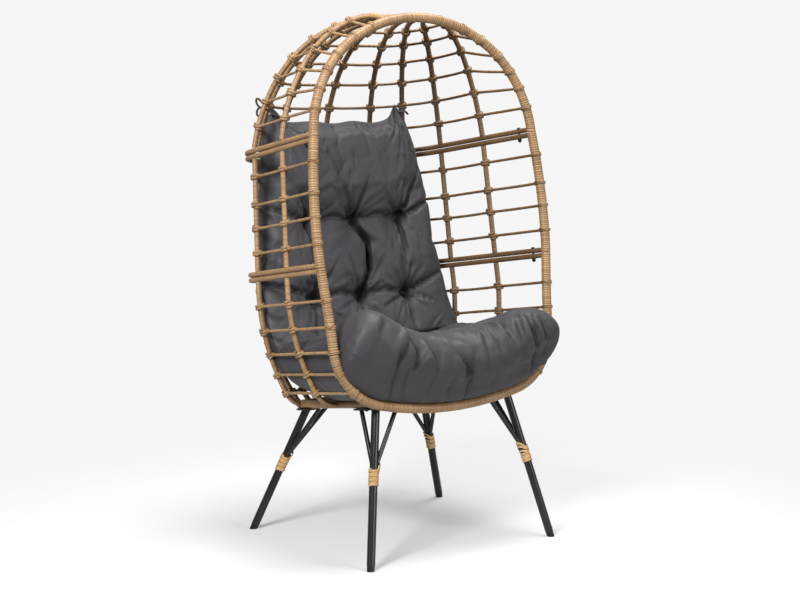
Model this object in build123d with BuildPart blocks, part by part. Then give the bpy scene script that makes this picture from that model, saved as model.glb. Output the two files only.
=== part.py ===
"""Standing egg armchair: a reclined lattice basket in three bolted sections, on four braced legs."""

import math
import os

from build123d import *

os.makedirs("parts", exist_ok=True)

# Sizes are in millimetres and degrees, +Z is up and the sitter faces -Y.
# The basket has its own frame: x across, v towards its back, w up along its back.

# Where the basket stands
recline = 8.7
seam_front_y = -215.1
seam_height = 766.0

# Outline of the basket in plan, at the lower seam
front_half_width = 369.0
back_half_width = 311.0
basket_depth = 526.0
back_corner_radius = 140.0
upper_seam_scale = 0.96

# Front hoop, seen square on
upper_seam = 333.0
hoop_top = 641.0
crown_radius = 395.0
crown_half_width = 204.0
side_bulge = 3.0
side_bulge_height = 110.0
sill_drop = 387.0
sill_radius = 1000.0
sill_half_width = 225.0
corner_top_drop = 210.0
corner_top_inset = 17.0

# Wrapped tubes and strands
hoop_radius = 13.0
rail_radius = 7.0
rail_gap = 1.0
rib_radius = 6.5
base_radius = 11.0
cross_bar_radius = 8.0
strand_radius = 3.0
joint_gap = 0.2
strand_gap = 0.3
section_gap = 0.4
seam_overrun = 4.0

# Ribs, counted from each side of the hoop to the middle of the back
side_rib_depths = (198.0, 381.0)
back_rib_half_width = 163.0
rib_end_spacing = 26.0

# How the hood draws in towards the top of the hoop, as shares of its seam
hood_shoulder_height = 452.0
hood_shoulder_scale = 0.885
hood_haunch_height = 545.0
hood_haunch_scale = 0.762
hood_brow_height = 650.0
hood_brow_scale = 0.40

# How far the bucket draws in, and how high above its base
bucket_belly_rise = 144.0
bucket_belly_inset = 17.0
bucket_turn_rise = 36.0
bucket_turn_inset = 57.0

# Rows of strands, as heights in the basket or above its base, and where the hood's rows meet the hoop
hood_rows = (404.0, 467.0, 527.0, 577.0, 618.0, 644.0)
hood_row_ends = (400.0, 453.0, 499.0, 540.0, 584.0, 612.0)
mid_rows = (62.0, 130.0, 192.0, 270.0)
bucket_row_rises = (276.0, 208.0, 144.0, 88.0, 36.0)

# Rectangle of bars under the seat
base_half_width = 222.0
base_back = 424.0
base_lift = 29.0
base_corner_radius = 40.0
cross_bar_depths = (120.0, 225.0, 330.0)

# Legs
leg_radius = 11.0
leg_wall = 1.5
brace_radius = 6.0
foot_front = (298.0, -332.0)
foot_back = (322.0, 210.0)
leg_top_front = (216.0, 36.0)
leg_top_back = (198.0, 402.0)
brace_spread = 66.0
brace_joint_front = 238.0
brace_joint_back = 198.0
foot_cap_height = 13.0
foot_cap_inset = 0.8
foot_cap_stem = 20.0
foot_cap_fit = 0.15
plate_thickness = 4.0
plate_arm = 96.0
plate_width = 34.0
plate_throat = 42.0
plate_corner_radius = 8.0
plate_seat_gap = 0.3

# Rattan binding wound round each leg just below its braces
binding_wire_radius = 2.3
binding_pitch = 5.4
binding_turns = 8
binding_gap = 0.3
binding_above_joint = 10.0

# Bolts
bolt_radius = 3.0
bolt_hole_gap = 0.2
bolt_head_radius = 6.0
bolt_head_height = 4.0
nut_radius = 5.5
nut_height = 9.0
seam_bolt_depth = 48.0
seam_bolt_back_half_width = 82.0
leg_bolt_from_corner = 44.0
leg_bolt_depth = 12.0

# One-piece cushion: a seat pad and a back pad sewn together
seat_rest_gap = 0.5
back_pad_middle = 421.0
pad_edge_power = 5.0
pad_corner_power = 8.0
tuft_columns = (-155.0, 0.0, 155.0)
tuft_rows = (-78.0, 140.0)
tuft_ball_radius = 46.0
tuft_depth = 30.0

# Seat pad from front to back: depth, half width, lift off its rest, thickness, rise to its sides and corners
seat_pad_stations = (
    (-58.0, 270.0, 12.0, 96.0, 34.0, 16.0),
    (-36.0, 340.0, -12.0, 152.0, 58.0, 30.0),
    (24.0, 328.0, 0.5, 144.0, 56.0, 42.0),
    (120.0, 319.0, 3.0, 136.0, 54.0, 50.0),
    (250.0, 306.0, 3.0, 130.0, 52.0, 50.0),
    (370.0, 276.0, 8.0, 116.0, 48.0, 44.0),
    (436.0, 190.0, 30.0, 60.0, 40.0, 20.0),
)

# Back pad from bottom to top: height, half width, set forward, thickness, wrap of its sides and corners
back_pad_stations = (
    (-250.0, 210.0, 36.0, 70.0, 24.0, 8.0),
    (-160.0, 290.0, 8.0, 122.0, 36.0, 16.0),
    (0.0, 303.0, 0.0, 134.0, 38.0, 18.0),
    (200.0, 290.0, 4.0, 128.0, 34.0, 16.0),
    (335.0, 256.0, 14.0, 102.0, 28.0, 12.0),
    (405.0, 222.0, 24.0, 56.0, 20.0, 8.0),
    (430.0, 196.0, 32.0, 18.0, 14.0, 4.0),
)

# Fabric ties that hold the cushion to the ribs
tie_width = 14.0
tie_thickness = 1.6
tie_height = 438.0
tie_tail_length = 32.0
tie_strap_length = 46.0
tie_clearance = 0.6


# Frames of reference and small helpers

up_tilt = math.radians(recline)
basket = Plane(
    origin=(0, seam_front_y, seam_height),
    x_dir=(1, 0, 0),
    z_dir=(0, math.sin(up_tilt), math.cos(up_tilt)),
)


def place(x, v, w):
    """Turn a point of the basket into a point of the chair."""
    return basket.from_local_coords(Vector(x, v, w))


def aim(x, v, w):
    """Turn a direction of the basket into a direction of the chair."""
    return place(x, v, w) - place(0, 0, 0)


def tube(path, radius):
    """Sweep a round section along a path."""
    with BuildPart() as swept:
        with BuildSketch(Plane(origin=path @ 0, z_dir=path % 0)):
            Circle(radius)
        sweep(path=path)
    return swept.part


def rod(start, end, radius):
    """Make a straight round rod between two points."""
    with BuildPart() as straight:
        with BuildSketch(Plane(origin=start, z_dir=end - start)):
            Circle(radius)
        extrude(amount=(end - start).length)
    return straight.part


def save(piece, name):
    """Label one finished piece and write it out."""
    piece.label = name
    export_step(piece, f"parts/{name}.step")


def cut_tube(path, radius, *neighbours):
    """Sweep a tube and cut it back to the neighbours that it ends on."""
    with BuildPart() as fitted:
        add(tube(path, radius))
        for neighbour in neighbours:
            add(neighbour, mode=Mode.SUBTRACT)
    return fitted.part


def dome_point(radius, height):
    """Give the point halfway along a round dome's outline, from its rim to its top."""
    ball = (radius**2 + height**2) / (2 * height)
    half_angle = math.asin(radius / ball) / 2
    return ball * math.sin(half_angle), height - ball * (1 - math.cos(half_angle))


def height_in_basket(point):
    """Give a point's height along the back of the basket."""
    return basket.to_local_coords(point).Z


def point_at_height(path, height):
    """Find where a path that keeps rising or falling passes a height, and its direction there."""
    low, high = 0.0, 1.0
    rising = height_in_basket(path @ 1) > height_in_basket(path @ 0)
    for _ in range(40):
        middle = (low + high) / 2
        if (height_in_basket(path @ middle) < height) == rising:
            low = middle
        else:
            high = middle
    return path @ low, path % low


# Front hoop

upper_half_width = front_half_width * upper_seam_scale
sill_rise = sill_radius - math.sqrt(sill_radius**2 - sill_half_width**2)


def crown_fall(x):
    """Give how far the crown of the hoop has fallen at a distance from its middle."""
    return crown_radius - math.sqrt(crown_radius**2 - x**2)


def hood_arch_path():
    """Rise from the left upper seam over the crown to the right upper seam."""
    foot = upper_seam - seam_overrun
    halfway = crown_half_width / 2
    with BuildLine() as line:
        for side in (-1, 1):
            crown = ThreePointArc(
                place(0, 0, hoop_top),
                place(side * halfway, 0, hoop_top - crown_fall(halfway)),
                place(side * crown_half_width, 0, hoop_top - crown_fall(crown_half_width)),
            )
            TangentArc(crown @ 1, place(side * upper_half_width, 0, foot), tangent=crown % 1)
    return line.wire()


def mid_tube_path(side):
    """Run up one side of the opening between the two seams."""
    foot = -seam_overrun
    head = upper_seam + seam_overrun
    with BuildLine() as line:
        ThreePointArc(
            place(side * front_half_width, 0, foot),
            place(side * (front_half_width + side_bulge), 0, side_bulge_height),
            place(side * upper_half_width, 0, head),
        )
    return line.wire()


def bucket_arch_path():
    """Drop from the left lower seam round the sill to the right lower seam."""
    head = seam_overrun
    corner_top = front_half_width - corner_top_inset
    with BuildLine() as line:
        sill = ThreePointArc(
            place(-sill_half_width, 0, sill_rise - sill_drop),
            place(0, 0, -sill_drop),
            place(sill_half_width, 0, sill_rise - sill_drop),
        )
        right = TangentArc(sill @ 1, place(corner_top, 0, -corner_top_drop), tangent=sill % 1)
        TangentArc(right @ 1, place(front_half_width, 0, head), tangent=right % 1)
        left = TangentArc(sill @ 0, place(-corner_top, 0, -corner_top_drop), tangent=-(sill % 0))
        TangentArc(left @ 1, place(-front_half_width, 0, head), tangent=left % 1)
    return line.wire()


def level(height):
    """Give the plane at one height in the basket."""
    return basket.offset(height)


def hoop_piece(path, lowest, highest):
    """Make one piece of the hoop, cut level at the seams that end it."""
    with BuildPart() as piece:
        add(tube(path, hoop_radius))
        if lowest is not None:
            split(bisect_by=level(lowest), keep=Keep.TOP)
        if highest is not None:
            split(bisect_by=level(highest), keep=Keep.BOTTOM)
    return piece.part


hood_arch = hood_arch_path()
bucket_arch = bucket_arch_path()
mid_tubes = {"left": mid_tube_path(-1), "right": mid_tube_path(1)}
half_gap = section_gap / 2
save(hoop_piece(hood_arch, upper_seam + half_gap, None), "hood_front_arch")
save(hoop_piece(bucket_arch, None, -half_gap), "bucket_front_arch")
for side_name, side_path in mid_tubes.items():
    save(hoop_piece(side_path, half_gap, upper_seam - half_gap), f"mid_front_tube_{side_name}")

hood_arch_room = tube(hood_arch, hoop_radius + joint_gap)
bucket_arch_room = tube(bucket_arch, hoop_radius + joint_gap)
mid_tube_rooms = [tube(side_path, hoop_radius + joint_gap) for side_path in mid_tubes.values()]


# Rails, two at each seam

rail_offset = rail_radius + rail_gap / 2


def rail_path(height, scale):
    """Run round the back of the basket at one height, from hoop to hoop."""
    front = front_half_width * scale
    back = back_half_width * scale
    depth = basket_depth * scale
    with BuildLine() as line:
        FilletPolyline(
            place(-front, 0, height),
            place(-back, depth, height),
            place(back, depth, height),
            place(front, 0, height),
            radius=back_corner_radius * scale,
        )
    return line.wire()


def seam_bolt_places(scale):
    """Give the four places across one seam where a bolt joins its two rails."""
    side_x = front_half_width - (front_half_width - back_half_width) * seam_bolt_depth / basket_depth
    side = (side_x * scale, seam_bolt_depth * scale)
    back = (seam_bolt_back_half_width * scale, basket_depth * scale)
    return [(sign * x, v) for x, v in (side, back) for sign in (-1, 1)]


def rail(path, scale, *hoop_rooms):
    """Make one rail, ended on the hoop and drilled for its seam's bolts."""
    with BuildPart() as drilled:
        add(cut_tube(path, rail_radius, *hoop_rooms))
        for x, v in seam_bolt_places(scale):
            reach = 2 * rail_radius + rail_offset
            middle = height_in_basket(path @ 0)
            hole = rod(place(x, v, middle - reach), place(x, v, middle + reach), bolt_radius + bolt_hole_gap)
            add(hole, mode=Mode.SUBTRACT)
    return drilled.part


rails = {
    "hood_lower_rail": (upper_seam + rail_offset, upper_seam_scale, [hood_arch_room]),
    "mid_upper_rail": (upper_seam - rail_offset, upper_seam_scale, mid_tube_rooms),
    "mid_lower_rail": (rail_offset, 1.0, mid_tube_rooms),
    "bucket_upper_rail": (-rail_offset, 1.0, [bucket_arch_room]),
}
rail_rooms = {}
for rail_name, (rail_height, rail_scale, hoop_rooms) in rails.items():
    this_path = rail_path(rail_height, rail_scale)
    save(rail(this_path, rail_scale, *hoop_rooms), rail_name)
    rail_rooms[rail_name] = tube(this_path, rail_radius + joint_gap)


# Base frame and its cross bars

base_front = hoop_radius + base_radius + strand_gap
base_drop = sill_drop - base_lift
base_bottom = -base_drop - base_radius
bucket_belly_drop = base_drop - bucket_belly_rise
bucket_turn_drop = base_drop - bucket_turn_rise
bucket_rows = tuple(rise - base_drop for rise in bucket_row_rises)


def base_path():
    """Run round the rectangle of bars under the seat."""
    with BuildLine() as line:
        FilletPolyline(
            place(-base_half_width, base_front, -base_drop),
            place(-base_half_width, base_back, -base_drop),
            place(base_half_width, base_back, -base_drop),
            place(base_half_width, base_front, -base_drop),
            radius=base_corner_radius,
            close=True,
        )
    return line.wire()


def leg_bolt_places():
    """Give the two bolts under each corner of the base frame."""
    places = []
    for sign in (-1, 1):
        for v, inward in ((base_front, 1), (base_back, -1)):
            places.append((sign * base_half_width, v + inward * leg_bolt_from_corner))
            places.append((sign * (base_half_width - leg_bolt_from_corner), v))
    return places


plate_top = base_bottom - plate_seat_gap
plate_bottom = plate_top - plate_thickness

with BuildPart() as base_frame:
    add(tube(base_path(), base_radius))
    for bolt_x, bolt_v in leg_bolt_places():
        hole_top = place(bolt_x, bolt_v, base_bottom + leg_bolt_depth + bolt_hole_gap)
        bolt_hole = rod(place(bolt_x, bolt_v, plate_bottom), hole_top, bolt_radius + bolt_hole_gap)
        add(bolt_hole, mode=Mode.SUBTRACT)
save(base_frame.part, "base_frame")
base_room = tube(base_path(), base_radius + joint_gap)

base_top = -base_drop + base_radius
cross_bar_height = base_top - cross_bar_radius
bar_reach = base_half_width - base_radius - joint_gap
with BuildPart() as base_cross_bars:
    for bar_depth in cross_bar_depths:
        bar_ends = [place(side * bar_reach, bar_depth, cross_bar_height) for side in (-1, 1)]
        add(rod(*bar_ends, cross_bar_radius))
save(base_cross_bars.part, "base_cross_bars")


# Ribs: a side and b side stand on the sides, c on each back corner, d and e on the back

corner_turn = math.atan2(basket_depth, front_half_width - back_half_width)
corner_half_angle = math.radians(90) - corner_turn / 2
corner_reach = back_corner_radius * (1 / math.cos(corner_half_angle) - 1)
corner_inward = (-math.cos(corner_turn / 2), -math.sin(corner_turn / 2))


def rib_stations():
    """List each rib's name, its place on the lower seam and the way its bucket part turns in."""
    stations = []
    for side_name, sign in (("left", -1), ("right", 1)):
        for letter, depth in zip("ab", side_rib_depths):
            x = front_half_width - (front_half_width - back_half_width) * depth / basket_depth
            stations.append((f"{letter}_{side_name}", sign * x, depth, (-sign, 0)))
        corner_x = back_half_width + corner_reach * corner_inward[0]
        corner_v = basket_depth + corner_reach * corner_inward[1]
        turn = (sign * corner_inward[0], corner_inward[1])
        stations.append((f"c_{side_name}", sign * corner_x, corner_v, turn))
        stations.append((f"d_{side_name}", sign * back_rib_half_width, basket_depth, (0, -1)))
    stations.append(("e_middle", 0.0, basket_depth, (0, -1)))
    return stations


def hood_rib_path(x, v, end_x):
    """Rise from the upper seam and draw in over the roof to the top of the hoop."""
    start = place(x * upper_seam_scale, v * upper_seam_scale, upper_seam + rail_offset)
    shoulder = place(x * hood_shoulder_scale, v * hood_shoulder_scale, hood_shoulder_height)
    haunch = place(x * hood_haunch_scale, v * hood_haunch_scale, hood_haunch_height)
    brow = place(x * hood_brow_scale, v * hood_brow_scale, hood_brow_height)
    end = place(end_x, 0, hoop_top - crown_fall(end_x))
    with BuildLine() as line:
        side = ThreePointArc(start, shoulder, haunch)
        roof = TangentArc(haunch, brow, tangent=side % 1)
        TangentArc(brow, end, tangent=roof % 1)
    return line.wire()


def mid_post_path(x, v):
    """Stand between the two seams."""
    head = place(x * upper_seam_scale, v * upper_seam_scale, upper_seam - rail_offset)
    with BuildLine() as line:
        Line(place(x, v, rail_offset), head)
    return line.wire()


def bucket_rib_path(x, v, turn, base_x, base_v):
    """Fall from the lower seam, turn in under the seat and end on the base frame."""
    belly = place(x + turn[0] * bucket_belly_inset, v + turn[1] * bucket_belly_inset, -bucket_belly_drop)
    turning = place(x + turn[0] * bucket_turn_inset, v + turn[1] * bucket_turn_inset, -bucket_turn_drop)
    with BuildLine() as line:
        side = ThreePointArc(place(x, v, -rail_offset), belly, turning)
        TangentArc(turning, place(base_x, base_v, -base_drop), tangent=side % 1)
    return line.wire()


def base_end(name, x, v):
    """Give the place on the base frame where a bucket rib ends."""
    sign = math.copysign(1, x)
    if name[0] in "ab":
        straight_end = base_back - base_corner_radius
        return sign * base_half_width, min(v, straight_end)
    if name[0] == "c":
        diagonal = base_corner_radius * (1 - math.sqrt(0.5))
        return sign * (base_half_width - diagonal), base_back - diagonal
    return x, base_back


rib_order = ["a_left", "b_left", "c_left", "d_left", "e_middle", "d_right", "c_right", "b_right", "a_right"]
hood_ribs, mid_posts, bucket_ribs = {}, {}, {}
for rib_name, rib_x, rib_v, rib_turn in rib_stations():
    end_place = (rib_order.index(rib_name) - rib_order.index("e_middle")) * rib_end_spacing
    hood_ribs[rib_name] = hood_rib_path(rib_x, rib_v, end_place)
    mid_posts[rib_name] = mid_post_path(rib_x, rib_v)
    bucket_ribs[rib_name] = bucket_rib_path(rib_x, rib_v, rib_turn, *base_end(rib_name, rib_x, rib_v))

for rib_name in rib_order:
    hood_rib = cut_tube(hood_ribs[rib_name], rib_radius, hood_arch_room, rail_rooms["hood_lower_rail"])
    save(hood_rib, f"hood_rib_{rib_name}")
    bucket_rib = cut_tube(bucket_ribs[rib_name], rib_radius, base_room, rail_rooms["bucket_upper_rail"])
    save(bucket_rib, f"bucket_rib_{rib_name}")

post_groups = {
    "left": ["a_left", "b_left", "c_left"],
    "back": ["d_left", "e_middle", "d_right"],
    "right": ["c_right", "b_right", "a_right"],
}
for group_name, members in post_groups.items():
    with BuildPart() as posts:
        for rib_name in members:
            add(tube(mid_posts[rib_name], rib_radius))
        add(rail_rooms["mid_upper_rail"], mode=Mode.SUBTRACT)
        add(rail_rooms["mid_lower_rail"], mode=Mode.SUBTRACT)
    save(posts.part, f"mid_posts_{group_name}")


# Strands, one straight piece from each rib to the next

def strand_setback(along, way, radius):
    """Give how far from a tube's axis a strand must stop, when it meets the tube at a slant."""
    slant = abs(along.dot(way.normalized()))
    return (radius + strand_gap + strand_radius * slant) / math.sqrt(1 - slant**2)


def strand_rows(paths, hoop_paths, rows, row_ends):
    """Make every strand of one section, row by row from hoop to hoop."""
    pieces = []
    for height, end_height in zip(rows, row_ends):
        knots = [point_at_height(paths[rib_name], height) for rib_name in rib_order]
        left_end = point_at_height(hoop_paths[0], end_height)
        right_end = point_at_height(hoop_paths[1], end_height)
        stops = [(*left_end, hoop_radius)] + [(*knot, rib_radius) for knot in knots]
        stops.append((*right_end, hoop_radius))
        for start, end in zip(stops, stops[1:]):
            along = (end[0] - start[0]).normalized()
            first = start[0] + along * strand_setback(along, *start[1:])
            last = end[0] - along * strand_setback(along, *end[1:])
            pieces.append(rod(first, last, strand_radius))
    with BuildPart() as strands:
        add(pieces)
    return strands.part


def arch_halves(arch):
    """Split an arch at its middle into a left and a right path."""
    halves = []
    for side in (-1, 1):
        edges = [edge for edge in arch.edges() if (edge @ 0.5).X * side > 1]
        halves.append(Wire(edges))
    return halves


save(strand_rows(hood_ribs, arch_halves(hood_arch), hood_rows, hood_row_ends), "hood_strands")
save(strand_rows(mid_posts, list(mid_tubes.values()), mid_rows, mid_rows), "mid_strands")
save(strand_rows(bucket_ribs, arch_halves(bucket_arch), bucket_rows, bucket_rows), "bucket_strands")


# Bolts through the seams and under the base frame

def seam_bolts(height, scale):
    """Make the four bolts of one seam, each with a domed head above and a dome nut below."""
    grip = rail_offset + rail_radius
    head_x, head_rise = dome_point(bolt_head_radius, bolt_head_height)
    with BuildPart() as bolts:
        for x, v in seam_bolt_places(scale):
            with BuildSketch(Plane(origin=place(x, v, height), x_dir=(1, 0, 0), z_dir=aim(0, -1, 0))):
                with BuildLine():
                    Polyline(
                        (0, grip + bolt_head_height),
                        (0, -grip - nut_height),
                        (nut_radius / 2, -grip - nut_height),
                        (nut_radius, -grip - nut_height / 2),
                        (nut_radius, -grip),
                        (bolt_radius, -grip),
                        (bolt_radius, grip),
                        (bolt_head_radius, grip),
                    )
                    ThreePointArc(
                        (bolt_head_radius, grip),
                        (head_x, grip + head_rise),
                        (0, grip + bolt_head_height),
                    )
                make_face()
            revolve(axis=Axis(place(x, v, height), aim(0, 0, 1)))
    return bolts.part


save(seam_bolts(upper_seam, upper_seam_scale), "upper_seam_bolts")
save(seam_bolts(0.0, 1.0), "lower_seam_bolts")

leg_head_x, leg_head_rise = dome_point(bolt_head_radius, bolt_head_height)
with BuildPart() as leg_bolts:
    for bolt_x, bolt_v in leg_bolt_places():
        seat = place(bolt_x, bolt_v, plate_bottom)
        with BuildSketch(Plane(origin=seat, x_dir=(1, 0, 0), z_dir=aim(0, -1, 0))):
            with BuildLine():
                shank_top = plate_thickness + plate_seat_gap + leg_bolt_depth
                Polyline(
                    (0, -bolt_head_height),
                    (0, shank_top),
                    (bolt_radius, shank_top),
                    (bolt_radius, 0),
                    (bolt_head_radius, 0),
                )
                ThreePointArc(
                    (bolt_head_radius, 0),
                    (leg_head_x, -leg_head_rise),
                    (0, -bolt_head_height),
                )
            make_face()
        revolve(axis=Axis(seat, aim(0, 0, 1)))
save(leg_bolts.part, "leg_bolts")


# Legs, each with two braces, an angled top plate, a foot cap and a rattan binding

plate_under = Plane(origin=place(0, 0, plate_bottom), x_dir=(1, 0, 0), z_dir=aim(0, 0, 1))


def top_plate(sign, inward):
    """Make the angled plate under one corner of the base frame, with two arms along its bars."""
    corner_v = base_front if inward > 0 else base_back
    base_middle = (base_front + base_back) / 2
    base_length = base_back - base_front + 2 * base_radius
    outer = base_radius
    inner = plate_width - base_radius
    with BuildPart() as plate:
        with BuildSketch(plate_under):
            with BuildLine():
                FilletPolyline(
                    (sign * (base_half_width + outer), corner_v - inward * outer),
                    (sign * (base_half_width + outer), corner_v + inward * plate_arm),
                    (sign * (base_half_width - inner), corner_v + inward * plate_arm),
                    (sign * (base_half_width - plate_throat), corner_v + inward * plate_throat),
                    (sign * (base_half_width - plate_arm), corner_v + inward * inner),
                    (sign * (base_half_width - plate_arm), corner_v - inward * outer),
                    radius=plate_corner_radius,
                    close=True,
                )
            make_face()
            with Locations((0, base_middle)):
                RectangleRounded(
                    2 * (base_half_width + base_radius),
                    base_length,
                    base_corner_radius + base_radius,
                    mode=Mode.INTERSECT,
                )
        extrude(amount=plate_thickness)
        for bolt_x, bolt_v in leg_bolt_places():
            hole_bottom = place(bolt_x, bolt_v, plate_bottom - plate_thickness)
            hole_top = place(bolt_x, bolt_v, plate_top + plate_thickness)
            add(rod(hole_bottom, hole_top, bolt_radius + bolt_hole_gap), mode=Mode.SUBTRACT)
    return plate.part


def biarc(start, start_way, end, end_way):
    """Join two points and directions by two arcs that meet smoothly."""
    gap = end - start
    ways = start_way + end_way
    spread = 2 * (1 - start_way.dot(end_way))
    reach = (-gap.dot(ways) + math.sqrt(gap.dot(ways) ** 2 + spread * gap.dot(gap))) / spread
    middle = (start + end + (start_way - end_way) * reach) * 0.5
    first = TangentArc(start, middle, tangent=start_way)
    TangentArc(middle, end, tangent=first % 1)


def binding_path(low, axis):
    """Wind round a leg from its lower end upwards, a quarter turn at a time."""
    ring = leg_radius + binding_gap + binding_wire_radius
    frame = Plane(origin=low, x_dir=axis.cross(Vector(0, 1, 0)), z_dir=axis)
    climb = binding_pitch / (2 * math.pi)
    stations = []
    for quarter in range(4 * binding_turns + 1):
        angle = math.radians(90 * quarter)
        local = Vector(ring * math.cos(angle), ring * math.sin(angle), climb * angle)
        way = Vector(-ring * math.sin(angle), ring * math.cos(angle), climb).normalized()
        point = frame.from_local_coords(local)
        stations.append((point, frame.from_local_coords(way) - frame.origin))
    with BuildLine() as line:
        for (start, start_way), (end, end_way) in zip(stations, stations[1:]):
            biarc(start, start_way, end, end_way)
    return line.wire()


def least_gap(path, turns, radius):
    """Measure the least gap between neighbouring turns of a winding, on points along it."""
    steps = 48
    points = [path @ (i / (steps * turns)) for i in range(steps * turns + 1)]
    nearest = math.inf
    for i, point in enumerate(points):
        for other in points[i + steps // 2:i + 2 * steps]:
            nearest = min(nearest, (other - point).length)
    return nearest - 2 * radius


def foot_cap(foot, axis):
    """Make a domed plug for the lower end of one leg, flat where it stands."""
    bore = leg_radius - leg_wall - foot_cap_fit
    outside = leg_radius - foot_cap_inset
    dome_base = -foot_cap_height / 4
    dome_x, dome_rise = dome_point(outside, foot_cap_height + dome_base)
    with BuildPart() as cap:
        across = axis.cross(Vector(0, 1, 0))
        with BuildSketch(Plane(origin=foot, x_dir=across, z_dir=across.cross(axis))):
            with BuildLine():
                Polyline(
                    (0, -foot_cap_height),
                    (0, foot_cap_height + foot_cap_stem),
                    (bore, foot_cap_height + foot_cap_stem),
                    (bore, foot_cap_height),
                    (outside, foot_cap_height),
                    (outside, dome_base),
                )
                ThreePointArc(
                    (outside, dome_base),
                    (dome_x, dome_base - dome_rise),
                    (0, -foot_cap_height),
                )
            make_face()
        revolve(axis=Axis(foot, axis))
        split(bisect_by=Plane.XY, keep=Keep.TOP)
    return cap.part


def leg(name, sign, foot, top, inward, joint_height):
    """Make and save every piece of one leg."""
    low = Vector(sign * foot[0], foot[1], 0)
    high = place(sign * top[0], top[1], plate_bottom)
    axis = (high - low).normalized()
    cap_top = low + axis * foot_cap_height
    with BuildPart() as leg_tube:
        with BuildSketch(Plane(origin=cap_top, z_dir=axis)):
            Circle(leg_radius)
            Circle(leg_radius - leg_wall, mode=Mode.SUBTRACT)
        extrude(amount=(high - cap_top).length + 2 * leg_radius)
        split(bisect_by=plate_under, keep=Keep.BOTTOM)
    save(leg_tube.part, f"leg_tube_{name}")

    joint = low + axis * (joint_height / axis.Z)
    leg_room = rod(low, high + axis * leg_radius, leg_radius + joint_gap)
    along_side = place(sign * top[0], top[1] + inward * brace_spread, plate_bottom)
    across_front = place(sign * (top[0] - brace_spread), top[1], plate_bottom)
    with BuildPart() as leg_braces:
        for brace_top in (along_side, across_front):
            way = (brace_top - joint).normalized()
            add(rod(joint, brace_top + way * 2 * brace_radius, brace_radius))
        split(bisect_by=plate_under, keep=Keep.BOTTOM)
        add(leg_room, mode=Mode.SUBTRACT)
    save(leg_braces.part, f"leg_braces_{name}")

    save(foot_cap(low, axis), f"foot_cap_{name}")

    winding_height = binding_turns * binding_pitch + binding_wire_radius
    winding = binding_path(joint - axis * (winding_height - binding_above_joint), axis)
    print(f"binding {name}: least gap {least_gap(winding, binding_turns, binding_wire_radius):.2f} mm")
    save(tube(winding, binding_wire_radius), f"leg_binding_{name}")


for side_name, sign in (("left", -1), ("right", 1)):
    leg(f"front_{side_name}", sign, foot_front, leg_top_front, 1, brace_joint_front)
    leg(f"back_{side_name}", sign, foot_back, leg_top_back, -1, brace_joint_back)

with BuildPart() as leg_plates:
    for sign in (-1, 1):
        for inward in (1, -1):
            add(top_plate(sign, inward))
save(leg_plates.part, "leg_plates")


# Cushion

pad_shares = (-0.94, -0.76, -0.4, 0.0, 0.4, 0.76, 0.94)


def pad_rise(share, side_rise, corner_rise):
    """Give how far a pad's middle has risen at a share of its half width."""
    return side_rise * share**2 + corner_rise * abs(share) ** pad_corner_power


def pad_outline(half_width, thickness, side_rise, corner_rise):
    """List the points round one cross-section of a pad, crowned above and below, drawn in at its edges."""
    upper, lower = [], []
    for share in pad_shares:
        middle = pad_rise(share, side_rise, corner_rise)
        half = thickness / 2 * math.sqrt(1 - abs(share) ** pad_edge_power)
        upper.append((share * half_width, middle + half))
        lower.append((share * half_width, middle - half))
    tip = pad_rise(1, side_rise, corner_rise)
    return [(-half_width, tip)] + upper + [(half_width, tip)] + lower[::-1]


def pad_section(section, *outline_sizes):
    """Draw one cross-section of a pad on its plane."""
    with BuildSketch(section) as sketch:
        with BuildLine():
            Spline(*pad_outline(*outline_sizes), periodic=True)
        make_face()
    return sketch.sketch


def seat_section(depth, half_width, lift, thickness, side_rise, corner_rise):
    """Draw one cross-section of the seat pad, square to its run from front to back."""
    middle = base_top + seat_rest_gap + lift + thickness / 2
    section = Plane(origin=place(0, depth, middle), x_dir=(1, 0, 0), z_dir=aim(0, -1, 0))
    return pad_section(section, half_width, thickness, side_rise, corner_rise)


def back_section(height, half_width, forward, thickness, side_wrap, corner_wrap):
    """Draw one level cross-section of the back pad, whose sides wrap forward."""
    middle = back_pad_middle - forward
    section = Plane(origin=place(0, middle, height), x_dir=(1, 0, 0), z_dir=aim(0, 0, -1))
    return pad_section(section, half_width, thickness, side_wrap, corner_wrap)


_, _, _, full_thickness, full_wrap, _ = max(back_pad_stations, key=lambda station: station[3])
pad_widest = max(station[1] for station in back_pad_stations)
with BuildPart() as cushion:
    loft([seat_section(*station) for station in seat_pad_stations])
    loft([back_section(*station) for station in back_pad_stations])
    for tuft_w in tuft_rows:
        for tuft_x in tuft_columns:
            face_v = back_pad_middle - full_thickness / 2 - pad_rise(tuft_x / pad_widest, full_wrap, 0)
            with Locations(place(tuft_x, face_v - tuft_ball_radius + tuft_depth, tuft_w)):
                Sphere(tuft_ball_radius, mode=Mode.SUBTRACT)
save(cushion.part, "cushion")


# Fabric ties

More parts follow.
